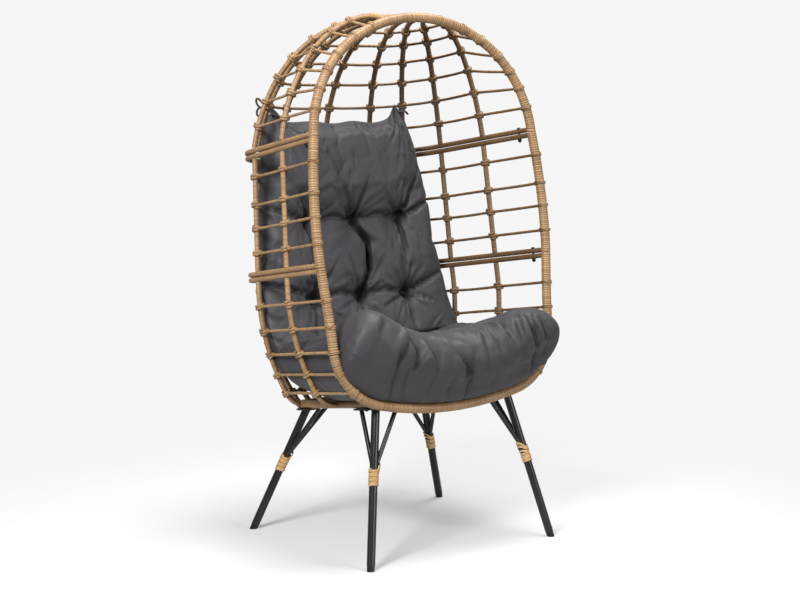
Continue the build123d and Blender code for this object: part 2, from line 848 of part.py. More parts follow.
def cushion_tie(rib_path, side):
    """Make a band round a rib, with a strap towards the cushion and two hanging tails."""
    knot, rib_way = point_at_height(rib_path, tie_height)
    inner = rib_radius + tie_clearance
    outer = inner + tie_thickness
    pad_top, top_half_width, top_forward, *_ = back_pad_stations[-1]
    pad_corner = place(side * top_half_width, back_pad_middle - top_forward, pad_top)
    pull = pad_corner - knot
    pull = (pull - rib_way * pull.dot(rib_way)).normalized()
    sideways = rib_way.cross(pull)
    with BuildPart() as tie:
        with BuildSketch(Plane(origin=knot - rib_way * tie_width / 2, z_dir=rib_way)):
            Circle(outer)
            Circle(inner, mode=Mode.SUBTRACT)
        extrude(amount=tie_width)
        strap_start = knot + pull * (inner + tie_thickness / 2)
        with BuildSketch(Plane(origin=strap_start, x_dir=rib_way, z_dir=pull)):
            Rectangle(tie_width, tie_thickness)
        extrude(amount=tie_strap_length)
        for lean in (-1, 1):
            start = knot + sideways * lean * (inner + tie_thickness / 2)
            hang = (sideways * lean - aim(0, 0, 1) * 2).normalized()
            with BuildSketch(Plane(origin=start, x_dir=hang.cross(sideways), z_dir=hang)):
                Rectangle(tie_width / 2, tie_thickness)
            extrude(amount=tie_tail_length)
    return tie.part


for side_name, side in (("left", -1), ("right", 1)):
    save(cushion_tie(hood_ribs[f"c_{side_name}"], side), f"cushion_tie_{side_name}")
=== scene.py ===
"""Dress the standing egg armchair: a wrapped wicker basket, braced black legs and a tufted cushion."""

import logging
import random
from bisect import bisect_right
from collections.abc import Callable, Mapping, Sequence
from dataclasses import dataclass, field
from enum import Enum
from math import atan2, copysign, cos, exp, hypot, pi, radians, sin, sqrt, tan

import bmesh
import bpy
from bpy.types import Material, Node, NodeSocket, NodeTree, Object
from mathutils import Matrix, Vector


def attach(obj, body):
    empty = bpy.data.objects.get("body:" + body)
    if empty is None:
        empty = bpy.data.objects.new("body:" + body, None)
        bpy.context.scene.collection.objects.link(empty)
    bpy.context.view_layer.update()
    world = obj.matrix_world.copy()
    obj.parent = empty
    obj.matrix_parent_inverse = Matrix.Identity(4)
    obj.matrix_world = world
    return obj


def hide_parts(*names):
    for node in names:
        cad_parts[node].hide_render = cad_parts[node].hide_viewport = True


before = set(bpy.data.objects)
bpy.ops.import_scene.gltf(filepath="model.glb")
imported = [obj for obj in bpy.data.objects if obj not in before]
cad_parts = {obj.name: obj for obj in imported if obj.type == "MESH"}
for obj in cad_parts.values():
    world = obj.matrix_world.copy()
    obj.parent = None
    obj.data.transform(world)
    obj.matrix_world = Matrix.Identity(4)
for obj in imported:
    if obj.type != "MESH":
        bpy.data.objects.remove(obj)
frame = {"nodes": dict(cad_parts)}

log = logging.getLogger("armchair")
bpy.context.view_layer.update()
MM = 0.001
TINY = 1e-7
WELD = 1e-6
ARC_STEPS = 40
TURN_STEPS = 24
STRAIGHT_STEPS = 20
Pair = tuple[float, float]
Pairs = tuple[Pair, ...]
Row = tuple[float, ...]
Triple = tuple[float, float, float]
Colour = tuple[float, float, float, float]
Arc = tuple[list[Vector], Vector]
Sockets = Mapping[str, NodeSocket]


class Side(Enum):
    """The two sides of the chair, as the sign of their X."""

    LEFT = -1
    RIGHT = 1

    @property
    def word(self) -> str:
        """Give the side's name as the CAD nodes spell it."""
        return self.name.lower()


class Seam(Enum):
    """The two level seams between the basket's three bolted sections, as heights in millimetres."""

    LOWER = 0.0
    UPPER = 333.0


# Lines in space


def shares(steps: int) -> list[float]:
    """Give even shares from 0 to 1."""
    return [i / steps for i in range(steps + 1)]


def smooth(share: float) -> float:
    """Ease a share from 0 to 1 with level ends."""
    share = min(1.0, max(0.0, share))
    return share * share * (3 - 2 * share)


def blend_stations(stations: Sequence[Pair], place: float) -> float:
    """Read a smooth curve through a few stations.

    Args:
        stations: Places in rising order, each with its value.
        place: Where to read the curve.

    Returns:
        The value there, held level beyond the ends.
    """
    if place <= stations[0][0]:
        return stations[0][1]
    if place >= stations[-1][0]:
        return stations[-1][1]
    slopes = [(b[1] - a[1]) / (b[0] - a[0]) for a, b in zip(stations, stations[1:])]
    ways = [slopes[0]]
    ways += [0.0 if a * b <= 0 else 2 * a * b / (a + b) for a, b in zip(slopes, slopes[1:])]
    ways.append(slopes[-1])
    i = max(k for k in range(len(stations) - 1) if stations[k][0] <= place)
    (x0, y0), (x1, y1) = stations[i], stations[i + 1]
    span = x1 - x0
    t = (place - x0) / span
    rise = (1 + 2 * t) * (1 - t) ** 2 * y0 + t * t * (3 - 2 * t) * y1
    return rise + span * (t * (1 - t) ** 2 * ways[i] - t * t * (1 - t) * ways[i + 1])


def tangent_arc(start: Vector, way: Vector, end: Vector, steps: int = ARC_STEPS) -> Arc:
    """Bend an arc from a point and direction to another point.

    Args:
        start: First point.
        way: Direction at the first point.
        end: Last point.
        steps: Number of short runs.

    Returns:
        The arc's points and its direction at the end.
    """
    way = way.normalized()
    chord = end - start
    aside = chord - way * chord.dot(way)
    if aside.length < TINY:
        return [start.lerp(end, share) for share in shares(steps)], way
    radius = chord.length_squared / (2 * aside.length)
    aside.normalize()
    turn = 2 * atan2(chord.dot(aside), chord.dot(way))
    points = []
    for share in shares(steps):
        angle = turn * share
        points.append(start + aside * radius * (1 - cos(angle)) + way * radius * sin(angle))
    return points, way * cos(turn) + aside * sin(turn)


def arc_through(start: Vector, middle: Vector, end: Vector) -> Arc:
    """Bend an arc through three points.

    Args:
        start: First point.
        middle: A point on the way.
        end: Last point.

    Returns:
        The arc's points and its direction at the end.
    """
    u, v = middle - start, end - start
    n = u.cross(v)
    towards = n.cross(u) * v.length_squared + v.cross(n) * u.length_squared
    centre = start + towards / (2 * n.length_squared)
    way = n.cross(start - centre)
    if way.dot(u) < 0:
        way.negate()
    return tangent_arc(start, way, end)


def rounded_line(corners: Sequence[Vector], radius: float, closed: bool = False) -> list[Vector]:
    """Join corners by straight runs with rounded turns.

    Args:
        corners: The corners in order.
        radius: Radius of each turn.
        closed: Whether the line comes back to its start.

    Returns:
        Points along the line.
    """
    count = len(corners)
    points: list[Vector] = []
    turns = range(count) if closed else range(1, count - 1)
    if not closed:
        points.append(corners[0].copy())
    for i in turns:
        corner = corners[i]
        back = (corners[i - 1] - corner).normalized()
        on = (corners[(i + 1) % count] - corner).normalized()
        half = back.angle(on) / 2
        reach = radius / tan(half)
        arc, _ = tangent_arc(corner + back * reach, -back, corner + on * reach, TURN_STEPS)
        points += arc
    points.append(points[0].copy() if closed else corners[-1].copy())
    return points


class Line:
    """A line in space that can be read at any distance along it."""

    way_reach = 2 * MM
    halvings = 40

    def __init__(self, points: Sequence[Vector]) -> None:
        """Measure a run of points.

        Args:
            points: Points in order, close enough together to count as the curve.
        """
        self.points = [points[0]]
        self.marks = [0.0]
        for point in points[1:]:
            step = (point - self.points[-1]).length
            if step > TINY:
                self.marks.append(self.marks[-1] + step)
                self.points.append(point)
        self.length = self.marks[-1]

    def _run(self, distance: float) -> int:
        """Find the short run that holds a distance."""
        return max(0, min(len(self.marks) - 2, bisect_right(self.marks, distance) - 1))

    def at(self, distance: float) -> Vector:
        """Give the point at a distance along the line."""
        i = self._run(distance)
        share = (distance - self.marks[i]) / (self.marks[i + 1] - self.marks[i])
        return self.points[i].lerp(self.points[i + 1], share)

    def way(self, distance: float) -> Vector:
        """Give the direction of the line at a distance along it."""
        reach = min(self.way_reach, self.length / 4)
        low = max(0.0, distance - reach)
        high = min(self.length, distance + reach)
        return (self.at(high) - self.at(low)).normalized()

    def where(self, test: Callable[[Vector], float]) -> float:
        """Find the distance at which a steadily changing reading passes zero.

        Args:
            test: Reading of a point, with opposite signs at the two ends.

        Returns:
            The distance along the line.
        """
        low, high = 0.0, self.length
        rising = test(self.points[-1]) > test(self.points[0])
        for _ in range(self.halvings):
            middle = (low + high) / 2
            if (test(self.at(middle)) < 0) == rising:
                low = middle
            else:
                high = middle
        return low

    def trimmed(self, start: float, end: float) -> "Line":
        """Cut the line back at its two ends by the given distances."""
        last = self.length - end
        inner = [p for p, m in zip(self.points, self.marks) if start < m < last]
        return Line([self.at(start), *inner, self.at(last)])


def straight_line(start: Vector, end: Vector) -> Line:
    """Join two points by a straight line in short runs."""
    return Line([start.lerp(end, share) for share in shares(STRAIGHT_STEPS)])


# Meshes


@dataclass
class Ring:
    """One ring of a tube: its place along it, radius, the painted shade that it gets (its groove value), tilt
    and breadth.
    """

    along: float
    radius: float
    groove: float = 0.0
    tilt: float = 0.0
    flatten: float = 1.0


def taper_ends(rings: Sequence[Ring], share: float, shade: float) -> None:
    """Make the first and last rings of a tube smaller, and give them painted shade."""
    for ring in (rings[0], rings[-1]):
        ring.radius *= share
        ring.groove = shade


class TubeMesh:
    """Collects tubes, each rolled up from a grid, in one bmesh with their lengths and a painted-shade value
    (groove) on each point.
    """

    # Strength of the painted shade on a tube's side that faces into the basket, and at a wound strip's edges.
    inner_shade = 0.85
    edge_shade = 0.9
    edge_sharpness = 6

    def __init__(self, outward: Callable[[Vector], Vector] | None = None) -> None:
        """Start with nothing in it.

        Args:
            outward: Gives the way out of the basket at a point, if the tubes get painted shade on their inner
                side.
        """
        self.outward = outward
        self.bm = bmesh.new()
        self.along = self.bm.verts.layers.float.new("along")
        self.groove = self.bm.verts.layers.float.new("groove")

    def roll(
        self,
        line: Line,
        rings: Sequence[Ring],
        sides: int,
        across: Vector | None = None,
        along_start: float = 0.0,
        facing: Callable[[Vector], Vector] | None = None,
    ) -> None:
        """Roll a grid into a tube along a line and close its ends.

        Args:
            line: The tube's middle line.
            rings: Its rings in order.
            sides: How many flats go round it.
            across: A direction that the first ring's start faces.
            along_start: What the length attribute starts from.
            facing: Gives the way that a wound strip's broad face looks at a point. Its edges then get painted
                shade.
        """
        count = len(rings) - 1
        grid = bmesh.ops.create_grid(self.bm, x_segments=count, y_segments=sides, size=0.5)["verts"]
        across = (across or line.way(rings[0].along).orthogonal()).copy()
        places: list[tuple[Matrix, Ring]] = []
        for ring in rings:
            middle, way = line.at(ring.along), line.way(ring.along)
            if facing:
                across = facing(middle)
            across = (across - way * across.dot(way)).normalized()
            aside = way.cross(across)
            leaned = way * cos(ring.tilt) + across * sin(ring.tilt)
            tilted = across * cos(ring.tilt) - way * sin(ring.tilt)
            place = Matrix((tilted, aside * ring.flatten, leaned)).transposed().to_4x4()
            place.translation = middle
            places.append((place, ring))
        for vert in grid:
            place, ring = places[round((vert.co.x + 0.5) * count)]
            angle = (vert.co.y + 0.5) * 2 * pi
            vert.co = place @ Vector((ring.radius * cos(angle), ring.radius * sin(angle), 0))
            vert[self.along] = ring.along + along_start
            # Painted shade, kept in the groove value: darker edges on a wound strip, and a darker side facing
            # into the basket.
            shade = 0.0
            if facing:
                shade = self.edge_shade * abs(sin(angle)) ** self.edge_sharpness
            if self.outward:
                inner = -(vert.co - place.translation).normalized().dot(self.outward(vert.co))
                shade = self.inner_shade * smooth(0.5 + inner)
            vert[self.groove] = max(ring.groove, shade)
        bmesh.ops.remove_doubles(self.bm, verts=grid, dist=WELD)
        rims = [e for e in self.bm.edges if e.is_boundary]
        bmesh.ops.holes_fill(self.bm, edges=rims, sides=sides)

    def piece(self, name: str) -> Object:
        """Finish the bmesh as a named object whose smooth faces point outwards."""
        bmesh.ops.recalc_face_normals(self.bm, faces=self.bm.faces[:])
        return finish_mesh(self.bm, name)


def finish_mesh(bm: bmesh.types.BMesh, name: str) -> Object:
    """Turn a bmesh into a smooth-shaded object at the origin.

    Args:
        bm: The bmesh, which is freed.
        name: The object's name.

    Returns:
        The new object, linked to the scene.
    """
    mesh = bpy.data.meshes.new(name)
    for face in bm.faces:
        face.smooth = True
    bm.to_mesh(mesh)
    bm.free()
    piece = bpy.data.objects.new(name, mesh)
    bpy.context.scene.collection.objects.link(piece)
    return piece


def fit_out(piece: Object, finish: Material, slot: str, *nodes: str) -> None:
    """Give a finished piece its material and its place in the chair.

    Args:
        piece: The piece.
        finish: Its material.
        slot: The record's material slot. Not used.
        nodes: CAD nodes that it stands for.
    """
    piece.data.materials.clear()
    piece.data.materials.append(finish)
    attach(piece, "root")
    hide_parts(*nodes)
    log.info("%s: %d faces", piece.name, len(piece.data.polygons))


# Shaders


class Sheet:
    """A node tree with short ways to add and join its nodes."""

    def __init__(self, tree: NodeTree) -> None:
        """Take over a node tree."""
        self.tree = tree

    def add(self, kind: str, inputs: dict | None = None, **settings: object) -> Node:
        """Add one node.

        Args:
            kind: The node's Blender type.
            inputs: Values or sockets for its inputs, by name or index.
            settings: The node's own settings.

        Returns:
            The node.
        """
        node = self.tree.nodes.new(kind)
        for name, value in settings.items():
            setattr(node, name, value)
        for key, value in (inputs or {}).items():
            self.put(node.inputs[key], value)
        return node

    def put(self, socket: NodeSocket, value: object) -> None:
        """Set a socket to a value, or join it to another socket."""
        if isinstance(value, NodeSocket):
            self.tree.links.new(value, socket)
        else:
            socket.default_value = value

    def math(self, operation: str, *values: object) -> NodeSocket:
        """Add a Math node and give its result."""
        node = self.add("ShaderNodeMath", dict(enumerate(values)), operation=operation)
        return node.outputs[0]

    def mix(self, share: object, first: object, second: object, blend: str = "MIX") -> NodeSocket:
        """Mix two colours and give the result.

        Args:
            share: How much of the second.
            first: One colour.
            second: The other.
            blend: How they mix.

        Returns:
            The mixed colour.
        """
        node = self.add("ShaderNodeMix", data_type="RGBA", blend_type=blend)
        self.put(node.inputs[0], share)
        self.put(node.inputs[6], first)
        self.put(node.inputs[7], second)
        return node.outputs[2]

    def ramp(
        self, value: object, low: float, high: float, out_low: float = 0.0, out_high: float = 1.0
    ) -> NodeSocket:
        """Map a value from one range to another, held at the ends."""
        inputs = {0: value, 1: low, 2: high, 3: out_low, 4: out_high}
        return self.add("ShaderNodeMapRange", inputs).outputs[0]

    def noise(self, place: object, scale: object, detail: float, flat: bool = False) -> NodeSocket:
        """Add a noise, over space or over one number, and give its value."""
        inputs = {"W" if flat else "Vector": place, "Scale": scale, "Detail": detail}
        shape = "1D" if flat else "3D"
        return self.add("ShaderNodeTexNoise", inputs, noise_dimensions=shape).outputs[0]


def new_group(name: str, inputs: dict[str, str], outputs: dict[str, str]) -> tuple[Sheet, Sockets, Sockets]:
    """Start a shared node group.

    Args:
        name: The group's name.
        inputs: Socket types by input name.
        outputs: Socket types by output name.

    Returns:
        The group's sheet, what it is given, and what it gives.
    """
    tree = bpy.data.node_groups.new(name, "ShaderNodeTree")
    for label, kind in inputs.items():
        tree.interface.new_socket(label, in_out="INPUT", socket_type=f"NodeSocket{kind}")
    for label, kind in outputs.items():
        tree.interface.new_socket(label, in_out="OUTPUT", socket_type=f"NodeSocket{kind}")
    sheet = Sheet(tree)
    return sheet, sheet.add("NodeGroupInput").outputs, sheet.add("NodeGroupOutput").inputs


def fibre_group() -> NodeTree:
    """Make the group for cane and moulded rattan: lines along the strip, tones of its wraps, and painted
    shade where the mesh's groove value says, as in its grooves.

    Returns:
        The node group.
    """
    inputs = {"Along": "Float", "Place": "Vector", "Groove": "Float", "Pitch": "Float"}
    inputs |= {"Light": "Color", "Deep": "Color"}
    outputs = {"Color": "Color", "Height": "Float", "Rough": "Float"}
    sheet, given, result = new_group("fibre_tone", inputs, outputs)
    along, place = given["Along"], given["Place"]
    turns = sheet.math("DIVIDE", along, given["Pitch"])
    wrap = sheet.noise(turns, 1.0, 1.0, flat=True)
    fine = sheet.noise(turns, 9.0, 2.0, flat=True)
    patch = sheet.noise(place, 14.0, 3.0)
    fleck = sheet.noise(place, 420.0, 2.0)
    tone = sheet.math("ADD", sheet.math("MULTIPLY", wrap, 0.5), sheet.math("MULTIPLY", patch, 0.5))
    tone = sheet.math("ADD", tone, sheet.math("MULTIPLY", sheet.math("SUBTRACT", fine, 0.5), 0.35))
    share = sheet.ramp(tone, 0.30, 0.66)
    colour = sheet.mix(share, given["Deep"], given["Light"])
    colour = sheet.mix(sheet.ramp(fleck, 0.62, 0.8, 0.0, 0.35), colour, given["Deep"])
    # Painted shade: the groove value darkens the colour towards a deep brown.
    shade = sheet.ramp(given["Groove"], 0.25, 1.0, 0.0, 0.85)
    dark = sheet.mix(1.0, given["Deep"], (0.22, 0.19, 0.16, 1), "MULTIPLY")
    sheet.put(result["Color"], sheet.mix(shade, colour, dark))
    sheet.put(result["Height"], sheet.math("ADD", fine, sheet.math("MULTIPLY", fleck, 0.25)))
    sheet.put(result["Rough"], sheet.ramp(fine, 0.3, 0.7, 0.32, 0.50))
    return sheet.tree


def coat_group() -> NodeTree:
    """Make the group for moulded and sprayed skins: fine grain, soft patches and rubbed places low down.

    Returns:
        The node group.
    """
    sheet, given, result = new_group(
        "skin_grain",
        {"Place": "Vector", "Grain": "Float", "Base": "Color", "Rubbed": "Color", "Scuff": "Float"},
        {"Color": "Color", "Height": "Float", "Rough": "Float"},
    )
    place = given["Place"]
    grain = sheet.noise(place, given["Grain"], 2.0)
    patch = sheet.noise(place, 9.0, 3.0)
    low = sheet.add("ShaderNodeSeparateXYZ", {0: place}).outputs[2]
    near_floor = sheet.ramp(low, 0.0, 0.10, 1.0, 0.0)
    scratch = sheet.ramp(sheet.noise(place, 90.0, 4.0), 0.58, 0.72)
    rub = sheet.math("MULTIPLY", sheet.math("MULTIPLY", near_floor, scratch), given["Scuff"])
    colour = sheet.mix(sheet.ramp(patch, 0.35, 0.7, 0.0, 0.35), given["Base"], given["Rubbed"])
    sheet.put(result["Color"], sheet.mix(rub, colour, given["Rubbed"]))
    sheet.put(result["Height"], grain)
    sheet.put(result["Rough"], sheet.ramp(patch, 0.3, 0.7, 0.22, 0.34))
    return sheet.tree


def weave_group() -> NodeTree:
    """Make the group for plain woven cloth: crossing threads, slubs, a soft change of tone and painted shade
    in its creases.

    Returns:
        The node group.
    """
    inputs = {"Cloth": "Vector", "Place": "Vector", "Thread": "Float", "Crease": "Float"}
    inputs |= {"Base": "Color", "Light": "Color"}
    outputs = {"Color": "Color", "Height": "Float", "Rough": "Float", "Crumple": "Float"}
    sheet, given, result = new_group("plain_weave", inputs, outputs)
    parts = sheet.add("ShaderNodeSeparateXYZ", {0: given["Cloth"]})
    turn = sheet.math("DIVIDE", pi, given["Thread"])
    warp = sheet.math("ABSOLUTE", sheet.math("SINE", sheet.math("MULTIPLY", parts.outputs[0], turn)))
    weft = sheet.math("ABSOLUTE", sheet.math("SINE", sheet.math("MULTIPLY", parts.outputs[1], turn)))
    threads = sheet.math("MULTIPLY", warp, weft)
    slub = sheet.add("ShaderNodeMapping", {"Vector": given["Cloth"], "Scale": (40.0, 900.0, 1.0)})
    slub_tone = sheet.noise(slub.outputs[0], 1.0, 2.0)
    patch = sheet.noise(given["Place"], 6.0, 3.0)
    tone = sheet.math("ADD", sheet.math("MULTIPLY", threads, 0.35), sheet.math("MULTIPLY", slub_tone, 0.35))
    tone = sheet.math("ADD", tone, sheet.math("MULTIPLY", patch, 0.4))
    colour = sheet.mix(sheet.ramp(tone, 0.25, 0.75), given["Base"], given["Light"])
    dark = sheet.mix(1.0, given["Base"], (0.12, 0.12, 0.12, 1), "MULTIPLY")
    # Painted shade: the crease value darkens the cloth in its folds and round its tufts.
    shade = sheet.ramp(given["Crease"], 0.08, 0.7, 0.0, 0.96)
    sheet.put(result["Color"], sheet.mix(shade, colour, dark))
    ridges = {"Vector": given["Place"], "Scale": 14.0}
    ridges |= {"Detail": 3.0, "Roughness": 0.5, "Distortion": 0.9}
    crumple = sheet.add("ShaderNodeTexNoise", ridges, noise_type="RIDGED_MULTIFRACTAL")
    sheet.put(result["Crumple"], crumple.outputs[0])
    sheet.put(result["Height"], sheet.math("ADD", threads, sheet.math("MULTIPLY", slub_tone, 0.4)))
    sheet.put(result["Rough"], sheet.ramp(slub_tone, 0.3, 0.7, 0.52, 0.62))
    return sheet.tree


@dataclass(frozen=True)
class Finish:
    """What every finish has: its name, how far its surface stands up, and its fixed shader values."""

    name: str
    bump: float
    bump_depth: float
    fixed: dict[str, object]

    def sockets(self, sheet: Sheet) -> dict[str, object]:
        """Give what goes into the shared group, which each kind of finish says for itself."""
        raise NotImplementedError

    def relief(self, sheet: Sheet, given: Sockets) -> NodeSocket:
        """Stand the surface up by the group's height."""
        inputs = {"Strength": self.bump, "Distance": self.bump_depth, "Height": given["Height"]}
        return sheet.add("ShaderNodeBump", inputs).outputs[0]

    def make(self, group: NodeTree) -> Material:
        """Build the material on a shared group.

        Args:
            group: The group that this kind of finish uses.

        Returns:
            The material.
        """
        material = bpy.data.materials.new(self.name)
        material.use_nodes = True
        sheet = Sheet(material.node_tree)
        shader = material.node_tree.nodes["Principled BSDF"].inputs
        for key, value in self.fixed.items():
            shader[key].default_value = value
        given = sheet.add("ShaderNodeGroup", self.sockets(sheet), node_tree=group).outputs
        sheet.put(shader["Base Color"], given["Color"])
        sheet.put(shader["Roughness"], given["Rough"])
        sheet.put(shader["Normal"], self.relief(sheet, given))
        return material


@dataclass(frozen=True)
class CaneFinish(Finish):
    """Cane or moulded rattan that is wound or run along a line."""

    pitch: float
    light: Colour
    deep: Colour

    def sockets(self, sheet: Sheet) -> dict[str, object]:
        """Read the line's length and its painted-shade value (groove) off the mesh.

        Args:
            sheet: Where its nodes go.

        Returns:
            What goes into the group, by input name.
        """
        given = {"Pitch": self.pitch, "Light": self.light, "Deep": self.deep}
        given["Place"] = sheet.add("ShaderNodeTexCoord").outputs["Object"]
        for label in ("Along", "Groove"):
            given[label] = sheet.add("ShaderNodeAttribute", attribute_name=label.lower()).outputs["Fac"]
        return given


@dataclass(frozen=True)
class SkinFinish(Finish):
    """Sprayed metal or moulded rubber."""

    grain: float
    base: Colour
    rubbed: Colour
    scuff: float

    def sockets(self, sheet: Sheet) -> dict[str, object]:
        """Lay the grain in the piece's own space."""
        place = sheet.add("ShaderNodeTexCoord").outputs["Object"]
        given = {"Place": place, "Grain": self.grain, "Scuff": self.scuff}
        return given | {"Base": self.base, "Rubbed": self.rubbed}


@dataclass(frozen=True)
class ClothFinish(Finish):
    """Woven cloth that follows the piece's own cut."""

    thread: float
    base: Colour
    light: Colour
    crumple: float = 0.0
    crumple_depth: float = 0.01

    def sockets(self, sheet: Sheet) -> dict[str, object]:
        """Run the threads along the cut, and read the painted crease shade off the mesh.

        Args:
            sheet: Where its nodes go.

        Returns:
            What goes into the group, by input name.
        """
        coords = sheet.add("ShaderNodeTexCoord").outputs
        crease = sheet.add("ShaderNodeAttribute", attribute_name="crease").outputs["Fac"]
        given = {"Cloth": coords["UV"], "Place": coords["Object"], "Crease": crease}
        return given | {"Thread": self.thread, "Base": self.base, "Light": self.light}

    def relief(self, sheet: Sheet, given: Sockets) -> NodeSocket:
        """Stand the threads up on a rumpled ground.

        Args:
            sheet: Where its nodes go.
            given: What the group gives.

        Returns:
            The surface's normal.
        """
        threads = super().relief(sheet, given)
        inputs = {"Strength": self.crumple, "Distance": self.crumple_depth, "Height": given["Crumple"]}
        sheet.put(threads.node.inputs["Normal"], sheet.add("ShaderNodeBump", inputs).outputs[0])
        return threads


class Palette:
    """Every finish of the chair, each made once."""

    def __init__(self) -> None:
        """Make the shared groups and the materials."""
        fibre, skin, weave = fibre_group(), coat_group(), weave_group()
        plastic, natural = {"Specular IOR Level": 0.55}, {"Specular IOR Level": 0.35}
        honey, umber = (0.51, 0.310, 0.150, 1), (0.27, 0.150, 0.066, 1)
        pale, straw = (0.72, 0.47, 0.225, 1), (0.50, 0.295, 0.125, 1)
        self.wrapped = CaneFinish("wrapped_wicker", 0.35, 0.0006, plastic, 0.0062, honey, umber).make(fibre)
        self.strand = CaneFinish("wicker_strand", 0.30, 0.0005, plastic, 0.011, honey, umber).make(fibre)
        self.binding = CaneFinish("natural_rattan", 0.35, 0.0005, natural, 0.009, pale, straw).make(fibre)
        coat, plated, matt = {"Specular IOR Level": 0.5}, {"Metallic": 0.35}, {"Specular IOR Level": 0.3}
        black, worn = (0.0060, 0.0060, 0.0066, 1), (0.016, 0.016, 0.017, 1)
        rubber = (0.010, 0.010, 0.010, 1)
        self.steel = SkinFinish("black_powder_coat", 0.10, 0.0002, coat, 1400.0, black, worn, 0.6).make(skin)
        self.bolt = SkinFinish("black_bolt", 0.06, 0.0002, plated, 2200.0, worn, worn, 0.0).make(skin)
        self.foot = SkinFinish("foot_cap", 0.16, 0.0002, matt, 700.0, rubber, worn, 0.9).make(skin)
        sheen = {"Sheen Weight": 0.10, "Sheen Roughness": 0.35, "Specular IOR Level": 0.45}
        slate, ash = (0.036, 0.034, 0.040, 1), (0.056, 0.053, 0.061, 1)
        ink, soot = (0.020, 0.019, 0.021, 1), (0.034, 0.033, 0.036, 1)
        self.cushion = ClothFinish("slate_cloth", 0.16, 0.0004, sheen, 0.0012, slate, ash, 0.8).make(weave)
        self.tie = ClothFinish("tie_tape", 0.30, 0.0004, sheen, 0.0012, ink, soot).make(weave)


# The basket's own frame and lines


